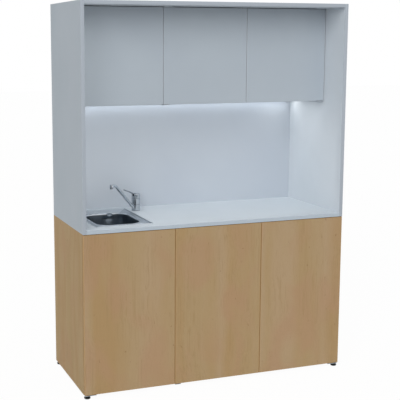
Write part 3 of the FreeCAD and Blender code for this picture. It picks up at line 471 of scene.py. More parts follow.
def mapleEdge(name, colours, shift):
    # Maple-look ABS edge band, 2 mm thick and rounded over, in the colours given. On the sides it is a little
    # darker and redder than the board it closes: partly its own tone, partly painted shade for the dark line
    # along the rounded edges. On the doors it is painted lighter, to lift the shade in the gaps between them
    material, tree, place = startMaterial(name)
    fine = grainsOf(tree, place, {"fine": ((5, 5, 240), {"Distortion": 0.2})}, shift)["fine"]
    colour = addNode(tree, "ValToRGB", {"stops": [(0.3, colours[0]), (0.7, colours[1])]}, {"Fac": fine})
    return surfaced(material, tree, colour, (fine, 0.45, 0.45), (fine, 0.3, 0.03), {"Specular IOR Level": 0.08})


def whiteMelamine(name, low, high, roughness=0.4, pressed=0.6):
    # Melamine-faced chipboard pressed against a fine pearl plate: cool white, satin, with a barely cloudy tone.
    # The real pearl is under 1 mm. It is drawn at 2.5 mm, so that it shows
    material, tree, place = startMaterial(name)
    grain = grainsOf(tree, place, {"cloud": ((420, 420, 520), {"Detail": 3.0, "Distortion": 0.3}),
                                   "pearl": ((2.5, 2.5, 2.5), {"Roughness": 0.6})})
    colour = addNode(tree, "ValToRGB", {"stops": [(0.35, low), (0.65, high)]}, {"Fac": grain["cloud"]})
    return surfaced(material, tree, colour, (grain["pearl"], roughness - 0.05, roughness + 0.09),
                    (grain["pearl"], pressed, 0.04), {"Specular IOR Level": 0.08})


def brushedMetal(name, colour, shade, roughness, size):
    # Metal brushed one way: fine parallel lines that stretch the highlights across them. The real lines are
    # some 0.1 mm apart. They are drawn 0.8 to 1.2 mm apart, so that they show
    material, tree, place = startMaterial(name)
    lines = grainsOf(tree, place, {"lines": (size, {"Detail": 3.0, "Roughness": 0.6})})["lines"]
    tone = addNode(tree, "ValToRGB", {"stops": [(0.25, shade), (0.75, colour)]}, {"Fac": lines})
    return surfaced(material, tree, tone, (lines, roughness - 0.06, roughness + 0.1), (lines, 0.4, 0.02),
                    {"Metallic": 1.0})


def mouldedPlastic(name, colour, shade, roughness, grit=1.5, depth=0.05):
    # Moulded plastic with the fine even texture of its tool
    material, tree, place = startMaterial(name)
    grain = grainsOf(tree, place, {"grain": ((grit, grit, grit), {"Roughness": 0.6})})["grain"]
    tone = addNode(tree, "ValToRGB", {"stops": [(0.3, shade), (0.7, colour)]}, {"Fac": grain})
    return surfaced(material, tree, tone, (grain, roughness - 0.06, roughness + 0.08), (grain, 0.5, depth),
                    {"IOR": 1.46})


def platedMetal(name, colour, shade, roughness, patch=60):
    # Plated, turned or drawn metal: a clean bright skin with faint uneven tone and soft handling marks
    material, tree, place = startMaterial(name)
    cloudy = {"Detail": 4.0, "Roughness": 0.6, "Distortion": 0.5}
    grain = grainsOf(tree, place, {"cloud": ((patch, patch, patch), cloudy), "fine": ((1.2, 1.2, 1.2), {})})
    tone = addNode(tree, "ValToRGB", {"stops": [(0.3, shade), (0.7, colour)]}, {"Fac": grain["cloud"]})
    return surfaced(material, tree, tone, (grain["cloud"], roughness * 0.75, roughness * 1.4),
                    (grain["fine"], 0.2, 0.004), {"Metallic": 1.0})


opalChoices = {"glow": 3.6, "glowColour": "#f2f7fc", "tones": [(0.3, "#e9eef2"), (0.7, "#f3f6f8")]}


def opalAcrylic(name):
    # Opal acrylic diffuser over a row of lamps: an even milky glow, a little weaker between the lamps
    material, tree, place = startMaterial(name)
    lamps = grainsOf(tree, place, {"lamps": ((60, 400, 400), {"Detail": 1.0})})["lamps"]
    tone = addNode(tree, "ValToRGB", {"stops": opalChoices["tones"]}, {"Fac": lamps})
    shader = addNode(tree, "BsdfPrincipled",
                     {"Roughness": 0.4, "IOR": 1.49, "Emission Color": opalChoices["glowColour"],
                      "Emission Strength": opalChoices["glow"]}, {"Base Color": tone})
    addNode(tree, "OutputMaterial", {}, {"Surface": shader})
    return material


finishes = {
    "whiteSide": whiteMelamine("whiteMelaminePanel", "#a8b2ba", "#adb6be"),  # outer faces of the hutch
    "whiteInner": whiteMelamine("whiteMelamineShelf", "#b4bcc3", "#b9c1c8"),  # shelves, partitions and rails
    "whiteDoor": whiteMelamine("whiteMelamineDoor", "#a9b2bb", "#adb6be"),  # wall doors, a shade greyer
    "whiteEdge": mouldedPlastic("whiteEdgeBand", "#a9b1ba", "#a4acb5", 0.38),  # ABS, smoother than the boards
    "whiteDoorEdgePaintedLight": mouldedPlastic("whiteDoorEdgeBand", "#bac1c8", "#b4bbc2", 0.38),  # painted lighter than the doors, to lift the shade in the gaps between them
    "whiteNichePaintedLight": whiteMelamine("whiteMelamineNichePaintedLight", "#cad1d7", "#cfd5db"),  # inner faces, painted paler for the light in the niche
    "splashback": whiteMelamine("lacqueredSplashback", "#bac1ca", "#bec5cd", 0.32, 0.3),  # smooth and washable
    "worktop": whiteMelamine("paleWorktopLaminate", "#ced6dc", "#d2d9df", 0.34, 0.5),  # high-pressure laminate
    "worktopEdge": mouldedPlastic("worktopEdgeBand", "#b3bec7", "#afbac3", 0.36),  # cooler line along the front
    "mapleSideLeft": mapleLaminate("mapleLaminateLeft", (3.1, 1.7, 0.4), "#fffbe9"),  # without door bands
    "mapleSideRight": mapleLaminate("mapleLaminateRight", (5.3, 9.2, 1.4), "#fffbe9"),
    # The sides' band: partly painted shade along the rounded edges
    "mapleEdge": mapleEdge("mapleEdgeBand", mapleChoices["edge"], (0.7, 0.2, 0.5)),
    # The doors' band, painted lighter than the sides' band to lift the shade in the gaps between the doors
    "mapleDoorEdgePaintedLight": mapleEdge("mapleDoorEdgeBand", mapleChoices["doorEdgePaintedLight"], (0.1, 0.9, 0.3)),
    "hardboard": mouldedPlastic("brownHardboard", "#8d7558", "#7d664b", 0.7, 2.5, 0.15),  # pressed fibre, dull
    "nylon": mouldedPlastic("mouldedNylon", "#d6d6cd", "#cfcfc6", 0.45),  # creamy and slippery
    "zinc": platedMetal("brightZincPlate", "#c6c9cc", "#aeb2b8", 0.3),  # bluish grey with cloudy patches
    "whitePlate": mouldedPlastic("whitePowderCoat", "#b9c1c9", "#b2bac2", 0.5, 1.8),  # baked paint, pebbled
    "darkZinc": platedMetal("yellowZincPlate", "#8a7350", "#77623f", 0.34),  # passivated, a dull brownish gold
    "latchCase": mouldedPlastic("greyMouldedLatch", "#bcbec0", "#b4b6b8", 0.5),  # matt grey
    "latchPlunger": mouldedPlastic("darkMouldedPlunger", "#55585b", "#4c4f52", 0.4),  # dark, worn smooth
    "foot": mouldedPlastic("blackMouldedFoot", "#0e0f10", "#0a0b0c", 0.5, 1.2, 0.08),  # black with a soft sheen
    "sinkDeck": brushedMetal("satinSteelDeck", "#e9edf0", "#dde1e5", 0.37, (0.9, 70, 70)),  # lines run back
    "sinkBowlPaintedDark": brushedMetal("satinSteelBowlPaintedDark", "#9aa4ae", "#88929c", 0.3, (1.2, 1.2, 80)),  # painted darker for the dark reflection and shade in the bowl
    "sinkFlankPaintedShade": brushedMetal("satinSteelSidePaintedShade", "#cad1d7", "#bdc5cb", 0.37, (0.9, 70, 70)),  # flanks painted darker, as shade
    "sinkBeadPaintedReflection": brushedMetal("satinSteelBeadPaintedReflection", "#98a0a8", "#8a9299", 0.3, (1.2, 1.2, 80)),  # painted reflection of the dark bowl on the bead's inner slope
    "wasteSteel": platedMetal("polishedStainless", "#b9bdc1", "#a5aaaf", 0.16, 40),  # a soft mirror
    "trapWhite": mouldedPlastic("mouldedPolypropylene", "#dcdddc", "#d4d5d4", 0.3, 3.0),  # waxy white
    "chrome": platedMetal("brightChromePlate", "#c6cbd0", "#bcc1c6", 0.09, 90),  # mirror bright, faintly blue
    "leverChromePaintedShade": platedMetal("shadedChromePlate", "#8f949a", "#858a90", 0.12, 90),  # chrome painted darker for the shade and dark reflections on the lever
    "aerator": platedMetal("satinChromePlate", "#b0b4b9", "#a2a6ab", 0.2, 30),  # blurs what it mirrors
    "brass": platedMetal("turnedBrass", "#c09a52", "#ab8443", 0.26, 25),  # warm yellow, dulled by its oxide
    "copper": platedMetal("drawnCopper", "#bf7d5c", "#a86a4c", 0.25, 45),  # reddish, with darker patches
    "lightCase": brushedMetal("satinAnodisedAluminium", "#c6c8ca", "#bcbec1", 0.38, (60, 0.8, 0.8)),  # silvery
    "rocker": mouldedPlastic("glossBlackRocker", "#1d1e20", "#17181a", 0.18, 2.0, 0.02),  # polished black
    "opal": opalAcrylic("opalAcrylic"),
}
for number, bay in enumerate(("left", "middle", "right")):
    shift = [first + step * number for first, step in zip(*mapleChoices["doorShifts"])]
    finishes["mapleDoor" + bay.capitalize()] = mapleLaminate(
        "mapleLaminateDoor" + bay.capitalize(), shift, bands=doorBands[bay],
        left=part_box("door_lower_" + bay)[0][0])
print("finishes made")


# Boards

boardChoices = {"edgeRound": 0.8, "bandThick": 1.6, "bandRound": 0.7, "thinRound": 0.4,
                "leastFace": 2000,  # smaller flat faces, in square millimetres, are not a board's wide sides
                "sideWithin": 0.1}  # how near to its box a wide side lies


def banded(node, face, edge, inner=None):  # a board whose edge band is a thin line round its two wide sides
    bm = nodeCopy(node)
    low, high = (Vector(corner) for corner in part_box(node))
    thin = min(range(3), key=lambda axis: high[axis] - low[axis])
    middle = (low[thin] + high[thin]) / 2
    outside = (high[thin] - low[thin]) / 2 - boardChoices["sideWithin"] * mm
    bevelEdges(bm, boardChoices["bandRound"], 3)
    wide = [item for item in bm.faces
            if abs(item.normal[thin]) > 0.999 and item.calc_area() > boardChoices["leastFace"] * mm ** 2
            and abs(item.calc_center_median()[thin] - middle) > outside]
    bmesh.ops.inset_region(bm, faces=wide, thickness=boardChoices["bandThick"] * mm, use_boundary=True,
                           use_even_offset=True)
    # Faces towards the middle of the unit take the inner finish when one is given: for the hutch it is painted
    # paler, standing for the niche's light
    for item in bm.faces:
        towards = (item.calc_center_median()[thin] - middle) * middle < 0
        item.material_index = 1 if item not in wide else 2 if inner and towards else 0
    finishPiece(node + "Panel", bm, [face, edge] + ([inner] if inner else []), [node])


def makeBoards():
    for side in ("left", "right"):
        banded("base_side_" + side, "mapleSide" + side.capitalize(), "mapleEdge")
    for bay in ("left", "middle", "right"):
        banded("door_lower_" + bay, "mapleDoor" + bay.capitalize(), "mapleDoorEdgePaintedLight")
        banded("door_upper_" + bay, "whiteDoor", "whiteDoorEdgePaintedLight")
    for node in ("hutch_side_left", "hutch_side_right", "hutch_top"):
        banded(node, "whiteSide", "whiteEdge", "whiteNichePaintedLight")
    for node in ("base_bottom", "base_partition_left", "base_partition_right", "base_rails", "base_shelves",
                 "wall_shelves", "wall_bottom", "wall_partition_left", "wall_partition_right"):
        softened(node, "whiteInner", boardChoices["edgeRound"])
    softened("base_back", "hardboard", boardChoices["thinRound"])
    softened("splashback", "splashback", boardChoices["thinRound"])


worktopChoices = {"bandDeep": 2.0, "bandRound": 1.5, "edgeWithin": 0.01}


def makeWorktop():
    bm = nodeCopy("worktop")
    low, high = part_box("worktop")
    line = low[1] + worktopChoices["bandDeep"] * mm
    within = worktopChoices["edgeWithin"] * mm
    bmesh.ops.bisect_plane(bm, geom=bm.verts[:] + bm.edges[:] + bm.faces[:], dist=weldGap,
                           plane_co=(0, line, 0), plane_no=(0, 1, 0))
    for face in bm.faces:
        face.material_index = 1 if face.calc_center_median().y < line else 0
    front = [edge for edge in bm.edges
             if all(vert.co.y < low[1] + within and vert.co.z > high[2] - within for vert in edge.verts)]
    bmesh.ops.bevel(bm, geom=front, offset=worktopChoices["bandRound"] * mm, segments=3, profile=0.5,
                    affect="EDGES", material=-1, clamp_overlap=True)
    finishPiece("worktopBoard", bm, ["worktop", "worktopEdge"], ["worktop"])


makeBoards()
makeWorktop()
print("boards made")


# Sink

sinkChoices = {
    # Section of the flange: (inwards from its edge, up from the worktop)
    "rimOutline": [(0.6, 0.05), (0, 0.5), (0, 1.5), (0.8, 2.2), (2, 2.4), (5.6, 2.4), (6.4, 2.2), (10.6, 0.6),
                   (11.4, 0.5), (13, 0.8)],
    "rimRound": 12, "rimTightens": 0.6,  # corner radius of the edge, and how fast it shrinks inwards
    # Where painted light lies: the flanks take steel painted darker as shade, the bead's inner slope a painted
    # reflection of the bowl, and faces more than deckTo below the worktop the bowl's steel painted dark
    "bead": (4, 12.6), "flank": 46, "deckTo": 3.5,  # bead and flanks inwards from the edge, deck downwards
    "plateau": 0.8, "sheet": 1.0, "rollRound": 6, "rollSteps": 6, "draft": 3,
    "wallRings": (10, 46, 4),  # depth of the first ring of the upper wall, where they end, and the step
    "floorRound": 24, "floorSteps": 7, "floorLift": 0.3, "clipRound": 0.3,
    "bowlLow": (-630, -185), "bowlHigh": (-390, 130), "bowlRound": 70,
    # Where the drain is, the dish round it as (radius, height over the floor), and the sheet under the dish
    "drain": (-510, -27.5), "dish": [(56, 0.2), (52, 0), (40.2, -0.6)], "dishSheet": 0.9,
    "underFrom": 3, "hem": (2, 0.05),  # the roll's ring where the underside ends, then past it and up
    "rearWithin": 30,  # what is pressed lies this near to the bowl's rear
    "notch": -475, "notchRadius": 17, "notchBack": 0.6, "notchFade": 0.3, "notchAcross": (-6, 1.5),
    # How far down the wall the notch keeps its depth: (mm below the worktop, share of the depth)
    "notchFall": [(0, 1), (4, 1), (7, 0.75), (10, 0.3), (14, 0)],
    # Soft hollows of the rear wall, as drawing leaves them: (middle, half width, depth) in X, then their start
    # and end below the worktop, and the share of it over which they deepen
    "hollows": [(-484, 42, 8.4), (-412, 26, 6.6)], "hollowFall": (14, 70), "hollowRise": 0.3}


def grown(low, high, amount, corner, height):  # a level ring for stacked, larger by an amount on each side
    return (low[0] - amount, low[1] - amount), (high[0] + amount, high[1] + amount), corner, height


def pressRearWall(bm, top):  # the round overflow notch and the soft hollows below it
    spot, reach = sinkChoices["notch"], sinkChoices["notchRadius"]
    start, end = sinkChoices["hollowFall"]
    rise = sinkChoices["hollowRise"] * (end - start)
    nearest, furthest = sinkChoices["notchAcross"]
    rear = sinkChoices["bowlHigh"][1]
    for vert in bm.verts:
        side = abs(vert.co.x / mm - spot)
        below = top - vert.co.z / mm
        if vert.co.y / mm > rear - sinkChoices["rearWithin"] and start < below < end:
            for middle, half, deep in sinkChoices["hollows"]:
                across = min(1, abs(vert.co.x / mm - middle) / half)
                fall = math.sin(math.pi * min(1, (below - start) / rise) / 2) * (end - below) / (end - start)
                vert.co.y += deep * mm * (0.5 + 0.5 * math.cos(math.pi * across)) * fall
        ahead = vert.co.y / mm - rear
        over = max(0, ahead)
        if (nearest < ahead < sinkChoices["rollRound"] + furthest and side < reach + over
                and below < sinkChoices["notchFall"][-1][0]):
            share = 1
            for (upper, before), (lower, after) in zip(sinkChoices["notchFall"], sinkChoices["notchFall"][1:]):
                if upper <= below < lower:
                    share = before + (after - before) * (below - upper) / (lower - upper)
            back = reach * (0.5 + 0.5 * math.cos(math.pi * side / (reach + over)))
            vert.co.y += share * sinkChoices["notchBack"] * (back - sinkChoices["notchFade"] * over) * mm


def makeSink():
    low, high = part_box("sink_bowl")
    sheet = sinkChoices["sheet"]
    floor = low[2] / mm + sheet
    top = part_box("worktop")[1][2] / mm
    outer = ((low[0] / mm, low[1] / mm), (high[0] / mm, high[1] / mm))
    bowl = (sinkChoices["bowlLow"], sinkChoices["bowlHigh"])
    corner = sinkChoices["bowlRound"]
    drain = sinkChoices["drain"]
    rings = [grown(*outer, -inset, sinkChoices["rimRound"] - sinkChoices["rimTightens"] * inset, top + height)
             for inset, height in sinkChoices["rimOutline"]]
    # The roll into the bowl, its walls and the rounded floor: (growth of the bowl, height)
    roll = sinkChoices["rollRound"]
    wall = []
    for step in range(sinkChoices["rollSteps"] + 1):
        angle = math.pi / 2 * step / sinkChoices["rollSteps"]
        wall.append((roll * (1 - math.sin(angle)), top + sinkChoices["plateau"] - roll * (1 - math.cos(angle))))
    fall = sinkChoices["floorRound"]
    draft = sinkChoices["draft"]
    first, last, gap = sinkChoices["wallRings"]
    depths = list(range(int(top) - first, int(top) - last, -gap)) + [(top + floor) / 2]
    wall += [(-draft * (top - depth) / (top - floor), depth) for depth in depths]
    for step in range(sinkChoices["floorSteps"]):
        angle = math.pi / 2 * step / (sinkChoices["floorSteps"] - 1)
        wall.append((-draft - fall * (1 - math.cos(angle)),
                     floor + fall * (1 - math.sin(angle)) + sinkChoices["floorLift"]))
    rings += [grown(*bowl, growth, corner + growth, height) for growth, height in wall]
    rings += [grown(drain, drain, radius, radius, floor + height) for radius, height in sinkChoices["dish"]]
    # The underside of the same sheet, back out to the rim
    rings += [grown(drain, drain, radius, radius, floor + height - sinkChoices["dishSheet"])
              for radius, height in reversed(sinkChoices["dish"][1:])]
    for growth, height in reversed(wall[sinkChoices["underFrom"]:]):
        under = sheet if growth < -draft - 1 else 0
        rings.append(grown(*bowl, growth + sheet, corner + growth + sheet, height - under))
    past, over = sinkChoices["hem"]
    rings.append(grown(*bowl, roll + past, corner + roll + past, top + over))
    rings.append(rings[0])
    bm = stacked(rings)
    pressRearWall(bm, top)
    near, far = sinkChoices["bead"]
    # Finishes by place. The faces deeper than deckTo and the overflow notch's throat take the steel painted
    # dark, as the dark reflection and shade of the bowl. On the flanks, the bead's inner slope takes a painted
    # reflection of the dark bowl, and the rest a steel painted darker as shade
    for face in bm.faces:
        spot = face.calc_center_median() / mm
        inwards = [min(spot[axis] - outer[0][axis], outer[1][axis] - spot[axis]) for axis in (0, 1)]
        flank = inwards[0] < min(inwards[1], sinkChoices["flank"])
        notched = abs(spot.x - sinkChoices["notch"]) < sinkChoices["notchRadius"]
        if spot.z < top - sinkChoices["deckTo"] or (notched and spot.y > bowl[1][1] and spot.z < top):
            face.material_index = 1
        else:
            face.material_index = (3 if near < inwards[0] < far else 2) if flank else 0
    finishPiece("sinkPressing", bm, ["sinkDeck", "sinkBowlPaintedDark", "sinkFlankPaintedShade", "sinkBeadPaintedReflection"], ["sink_bowl"],
                smoothAngle=50)


makeSink()
softened("sink_clips", "zinc", sinkChoices["clipRound"])
print("sink made")


# Waste, strainer and trap. Outlines are (radius, height) from the bowl's floor, from the waste's lower end or,
# for the outlet, from its rear end

wasteChoices = {
    "outline": [(40, -0.8), (40, 0.1), (49.4, 0.1), (50, 0.5), (49.8, 1.2), (48.5, 1.8), (46, 2), (44, 2),
                (41, 1.4), (38.6, 0.4), (38, -0.6), (38, -42.5), (36.5, -44), (15.4, -44), (14, -45), (14, -84),
                (16, -84), (16, -47), (17, -46), (38.5, -46), (40, -44.5), (40, -0.8)]}
strainerChoices = {"cup": [(9, -29.4), (14, -29.4), (19, -29.4), (24, -29.4), (29, -29.4), (33.2, -29.0),
                           (34.7, -27.4), (34.8, -16), (34.8, -6), (34.8, 1.6), (35.6, 2.8), (38, 3.2),
                           (42.4, 3.2), (43, 2.75)],
                   "steps": 48, "floorBelow": -29, "floorRing": (14, 29), "sideRow": (-16, -6),
                   "holeEdge": 0.7, "sheet": 0.8,
                   "knob": [(0, -30), (9.6, -30), (9.6, -28.4), (3, -27.6), (2.4, -20), (3.2, -17),
                            (4.9, -15.6), (5, -13.6), (4.2, -12.3), (0, -12)]}


def drainPlace():
    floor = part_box("sink_bowl")[0][2] + sinkChoices["sheet"] * mm
    return Vector((sinkChoices["drain"][0] * mm, sinkChoices["drain"][1] * mm, floor))


def stepOf(spot, steps):  # the number of the step of a turned shape that a point from its axis is in
    return round(math.atan2(spot.y, spot.x) / (2 * math.pi / steps) - 0.5)


def makeWaste():
    bm = turned(wasteChoices["outline"], steps=64, centre=drainPlace())
    finishPiece("wasteFitting", bm, ["wasteSteel"], ["sink_waste"], smoothAngle=40)


def makeStrainer():  # a pressed cup with a holed floor and a turned knob
    drain = drainPlace()
    steps = strainerChoices["steps"]
    inner, outer = strainerChoices["floorRing"]
    low, high = strainerChoices["sideRow"]
    bm = turned(strainerChoices["cup"], steps, drain)
    holes = []
    for face in bm.faces:
        spot = (face.calc_center_median() - drain) / mm
        turn = stepOf(spot, steps)
        onFloor = spot.z < strainerChoices["floorBelow"] and inner < spot.xy.length < outer
        if (onFloor and turn % 3) or (low < spot.z < high and turn % 3 == 1):
            holes.append(face)
    bmesh.ops.inset_individual(bm, faces=holes, thickness=strainerChoices["holeEdge"] * mm,
                               use_even_offset=True)
    bmesh.ops.delete(bm, geom=holes, context="FACES")
    bmesh.ops.solidify(bm, geom=bm.faces[:], thickness=-strainerChoices["sheet"] * mm)
    joinInto(bm, turned(strainerChoices["knob"], steps=32, centre=drain))
    finishPiece("strainerCup", bm, ["wasteSteel"], ["strainer_basket"], smoothAngle=40)


trapChoices = {"bottle": [(0, -92), (26, -92), (28, -90.5), (29.2, -86), (30, -85.4), (30, -68), (29.4, -67.4),
                          (28.6, -66.8), (28.6, -64), (30, -63), (30, -8), (27, -2), (24, 0.4), (24, 14),
                          (22.6, 15.6), (19, 16), (16.1, 16), (16.1, 0), (14, 0), (14, -4), (28, -4.4),
                          (28, -89), (0, -89.4)],
               "steps": 64, "ribRows": [(-85, -68), (1, 14)], "ribRadius": 22, "ribDraft": 0.4,
               "ribHeight": 0.5,
               "capRibs": (8, 20, 32, 39, 52),  # steps where the cap stands out and the slip nut doesn't
               "outletDown": 30,
               "mouth": [(20.2, 0), (23.2, 0), (24, -0.8), (24, -8), (23.2, -9), (23.2, -33), (24, -34),
                         (24, -41), (22, -42.4), (20, -43)],
               "pipe": [(20, 29), (18, 27)],  # (radius, how far from the bottle's axis it ends)
               "throat": [(18, -41), (20.2, -40), (20.2, 0)],
               "nut": [(20, 32), (25, 32), (26, 33), (26, 47), (25, 48), (20, 48)]}


def fromRear(outline, length):  # counts distances from the bottle's axis from the outlet's end instead
    return [(radius, -(length - ahead)) for radius, ahead in outline]


def makeTrap():
    start = drainPlace()
    start.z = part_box("sink_waste")[0][2]
    # Bottle with a slip nut on its inlet and a ribbed cap that unscrews for cleaning
    steps = trapChoices["steps"]
    bm = turned(trapChoices["bottle"], steps, start)
    ribs = []
    for face in bm.faces:
        spot = (face.calc_center_median() - start) / mm
        onCap = spot.z < 0
        capRib = stepOf(spot, steps) % steps in trapChoices["capRibs"]
        if (abs(face.normal.z) < 0.2 and spot.xy.length > trapChoices["ribRadius"] and onCap == capRib
                and any(low < spot.z < high for low, high in trapChoices["ribRows"])):
            ribs.append(face)
    # The normals still point inward here, so a depth below zero raises the ribs
    bmesh.ops.inset_individual(bm, faces=ribs, thickness=trapChoices["ribDraft"] * mm,
                               depth=-trapChoices["ribHeight"] * mm)
    finishPiece("trapBottle", bm, ["trapWhite"], ["waste_trap"], smoothAngle=35)

    # Outlet pipe with its mouth at the rear and a slip nut at the bottle
    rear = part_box("waste_trap")[1][1]
    length = (rear - start.y) / mm
    outline = trapChoices["mouth"] + fromRear(trapChoices["pipe"], length) + trapChoices["throat"]
    bm = bmesh.new()
    for section, steps in ((outline, 48), (fromRear(trapChoices["nut"], length), 24)):
        part = turned(section, steps)
        place = Matrix.Translation((start.x, rear, start.z - trapChoices["outletDown"] * mm))
        bmesh.ops.transform(part, matrix=place @ Matrix.Rotation(-math.pi / 2, 4, "X"), verts=part.verts)
        joinInto(bm, part)
    finishPiece("trapOutlet", bm, ["trapWhite"], ["waste_trap"], smoothAngle=35)


makeWaste()
makeStrainer()
makeTrap()
print("waste and trap made")


# Tap: turned parts on one axis, a swept spout and a flat lever. Outlines are (radius, height) from the worktop

tapChoices = {"axis": (-306, 172), "turn": 215.5, "steps": 72,
              "shank": (15.4, 0.6, -40, 1.25, 31),  # a thread's root, depth, lower end, half pitch and points
              "body": [(16, -2), (16, 0), (23.6, 0), (24, 0.4), (24, 2.4), (23.5, 3), (15, 3), (15, 36),
                       (23.3, 36), (24, 36.7), (24, 70.2), (23.3, 71), (5.1, 71), (5.1, 58.6), (0, 58.6)],
              "nut": [(16.1, -27), (23.4, -27), (24, -26.4), (24, -19.6), (23.4, -19), (16.1, -19),
                      (16.1, -27)],
              "tail": [(4, -370), (4.6, -370), (5, -369.5), (5, -41), (4.6, -40), (4, -40), (4, -370)],
              "tailOut": 9}
spoutChoices = {"ring": [(15.1, 3.4), (23.4, 3.4), (24, 4), (24, 35), (23.4, 35.6), (15.1, 35.6), (15.1, 3.4)],
                "start": (19, 15), "corner": (193, 166), "end": 227, "bend": 45, "bendSteps": 12, "tube": 8,
                "nozzle": [(0, 158.5), (6.2, 158.5), (6.2, 157.8), (9.1, 157.8), (9.5, 158.2), (9.5, 171.5),
                           (9, 173.4), (7.6, 175.2), (5, 176.3), (0, 176.7)],
                "aerator": [(0, 154.2), (4, 154.2), (4.4, 152.1), (4.8, 151.8), (8.9, 151.8), (9.4, 152.3),
                            (9.4, 157.0), (9.1, 157.5), (5.9, 157.5), (5.9, 163.5), (0, 163.5)],
                "knurlBelow": 157, "knurlRadius": 9, "knurlDraft": 0.15, "knurlDeep": 0.2}
headChoices = {"outline": [(0, 59), (4.95, 59), (4.95, 71.3), (23.4, 71.3), (24, 72), (24, 92), (24, 92.5),
                           (23.4, 95), (21.6, 96.8), (18.6, 97.8), (12, 98.2), (0, 98.3)],
               "slotLow": (2.2, -4.8, 85.5), "slotHigh": (40, 4.8, 120), "edgeRound": 0.4,
               "pin": (8, 91.3), "pinRadius": 1.95, "pinHalf": 14.9}
leverChoices = {"knuckleRadius": 5.5, "knuckleHalf": 4.5, "long": 106, "rise": 42, "arch": 1.5, "drop": 0.5,
                "thick": 8.2, "thins": 4.4, "wide": 9, "narrows": 0.6, "bow": 1.2, "bowFrom": 0.35, "cuts": 9,
                "tipRound": 3.8, "tipLeast": 2, "edgeRound": 0.9}


def threadOutline(root, deep, low, step, count):  # the zigzag of a thread's section
    return [(root + deep * (number % 2), low + number * step) for number in range(count)]


def crossBar(half, radius, steps):  # a bar across the head's slot, on the lever's axis
    across, up = headChoices["pin"]
    return tube([(across, -half, up), (across, half, up)], radius, steps)


def finishTap(name, bm, finish, node, smoothAngle=35):  # turned to the spout's way and set on the worktop
    axis = tapChoices["axis"]
    place = Matrix.Translation((axis[0] * mm, axis[1] * mm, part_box("worktop")[1][2]))
    turn = Matrix.Rotation(math.radians(tapChoices["turn"]), 4, "Z")
    bmesh.ops.transform(bm, matrix=place @ turn, verts=bm.verts)
    finishPiece(name, bm, [finish], [node], smoothAngle)


def makeTapBody():  # threaded shank, base ring, core that the spout turns on, and collar
    shank = threadOutline(*tapChoices["shank"])
    bm = turned([(0, shank[0][1])] + shank + tapChoices["body"], tapChoices["steps"])
    finishTap("tapBodyTurned", bm, "chrome", "tap_body")


def makeSpout():  # swivel ring, tube with one bend, and the nozzle
    bm = turned(spoutChoices["ring"], tapChoices["steps"])
    start, corner = (Vector((out, 0, up)) for out, up in (spoutChoices["start"], spoutChoices["corner"]))
    end = Vector((spoutChoices["end"], 0, corner.z))
    rise = (corner - start).normalized()
    turn = rise.angle(end - corner)
    bend = spoutChoices["bend"]
    first = corner - rise * bend * math.tan(turn / 2)
    centre = first + Vector((rise.z, 0, -rise.x)) * bend
    steps = spoutChoices["bendSteps"]
    arc = [centre + Matrix.Rotation(turn * step / steps, 3, "Y") @ (first - centre)
           for step in range(steps + 1)]
    joinInto(bm, tube([start, *arc, end], spoutChoices["tube"]))
    joinInto(bm, turned(spoutChoices["nozzle"], steps=48, centre=Vector((end.x * mm, 0, 0))))
    finishTap("tapSpoutSwept", bm, "chrome", "tap_spout")


def makeAerator():  # knurled ring with a sunk mesh
    centre = Vector((spoutChoices["end"] * mm, 0, 0))
    bm = turned(spoutChoices["aerator"], steps=60, centre=centre)
    knurl = []
    for face in bm.faces:
        spot = (face.calc_center_median() - centre) / mm
        if (abs(face.normal.z) < 0.1 and spot.z < spoutChoices["knurlBelow"]
                and spot.xy.length > spoutChoices["knurlRadius"]):
            knurl.append(face)
    bmesh.ops.inset_individual(bm, faces=knurl, thickness=spoutChoices["knurlDraft"] * mm,
                               depth=-spoutChoices["knurlDeep"] * mm)
    finishTap("tapAeratorRing", bm, "aerator", "tap_aerator")


def makeTapHead():  # domed drum with a slot for the lever and the cross pin in it
    drum = turned(headChoices["outline"], tapChoices["steps"])
    bm = carved(drum, block(headChoices["slotLow"], headChoices["slotHigh"]))
    bevelEdges(bm, headChoices["edgeRound"], 1, 50)
    joinInto(bm, crossBar(headChoices["pinHalf"], headChoices["pinRadius"], 20))
    finishTap("tapHeadTurned", bm, "chrome", "tap_cap")


def makeLever():  # a knuckle on the pin and a flat blade that rises and thins towards its rounded tip
    across, up = headChoices["pin"]
    blade = bmesh.new()
    bmesh.ops.create_cube(blade, size=1)
    lengthways = [edge for edge in blade.edges if abs((edge.verts[0].co - edge.verts[1].co).x) > 0.5]
    bmesh.ops.subdivide_edges(blade, edges=lengthways, cuts=leverChoices["cuts"])
    for vert in blade.verts:
        share = vert.co.x + 0.5
        bowed = max(0, share - leverChoices["bowFrom"]) / (1 - leverChoices["bowFrom"])
        wide = leverChoices["wide"] - leverChoices["narrows"] * share
        wide += leverChoices["bow"] * math.sin(math.pi * bowed)
        height = up + leverChoices["rise"] * share + leverChoices["arch"] * math.sin(math.pi * share)
        thick = vert.co.z * (leverChoices["thick"] - leverChoices["thins"] * share)
        vert.co = Vector((across + leverChoices["long"] * share, vert.co.y * min(wide, leverChoices["wide"]),
                          height - leverChoices["drop"] + thick)) * mm
    end = (across + leverChoices["long"]) * mm - weldGap
    tip = [edge for edge in blade.edges if edge.verts[0].co.x > end
           and abs((edge.verts[0].co - edge.verts[1].co).z) > leverChoices["tipLeast"] * mm]
    bmesh.ops.bevel(blade, geom=tip, offset=leverChoices["tipRound"] * mm, segments=6, profile=0.5,
                    affect="EDGES", material=-1)
    bevelEdges(blade, leverChoices["edgeRound"], 3, 40)
    bm = bmesh.new()
    joinInto(bm, crossBar(leverChoices["knuckleHalf"], leverChoices["knuckleRadius"], 32))
    joinInto(bm, blade)
    finishTap("tapLeverBlade", bm, "leverChromePaintedShade", "tap_lever", smoothAngle=40)


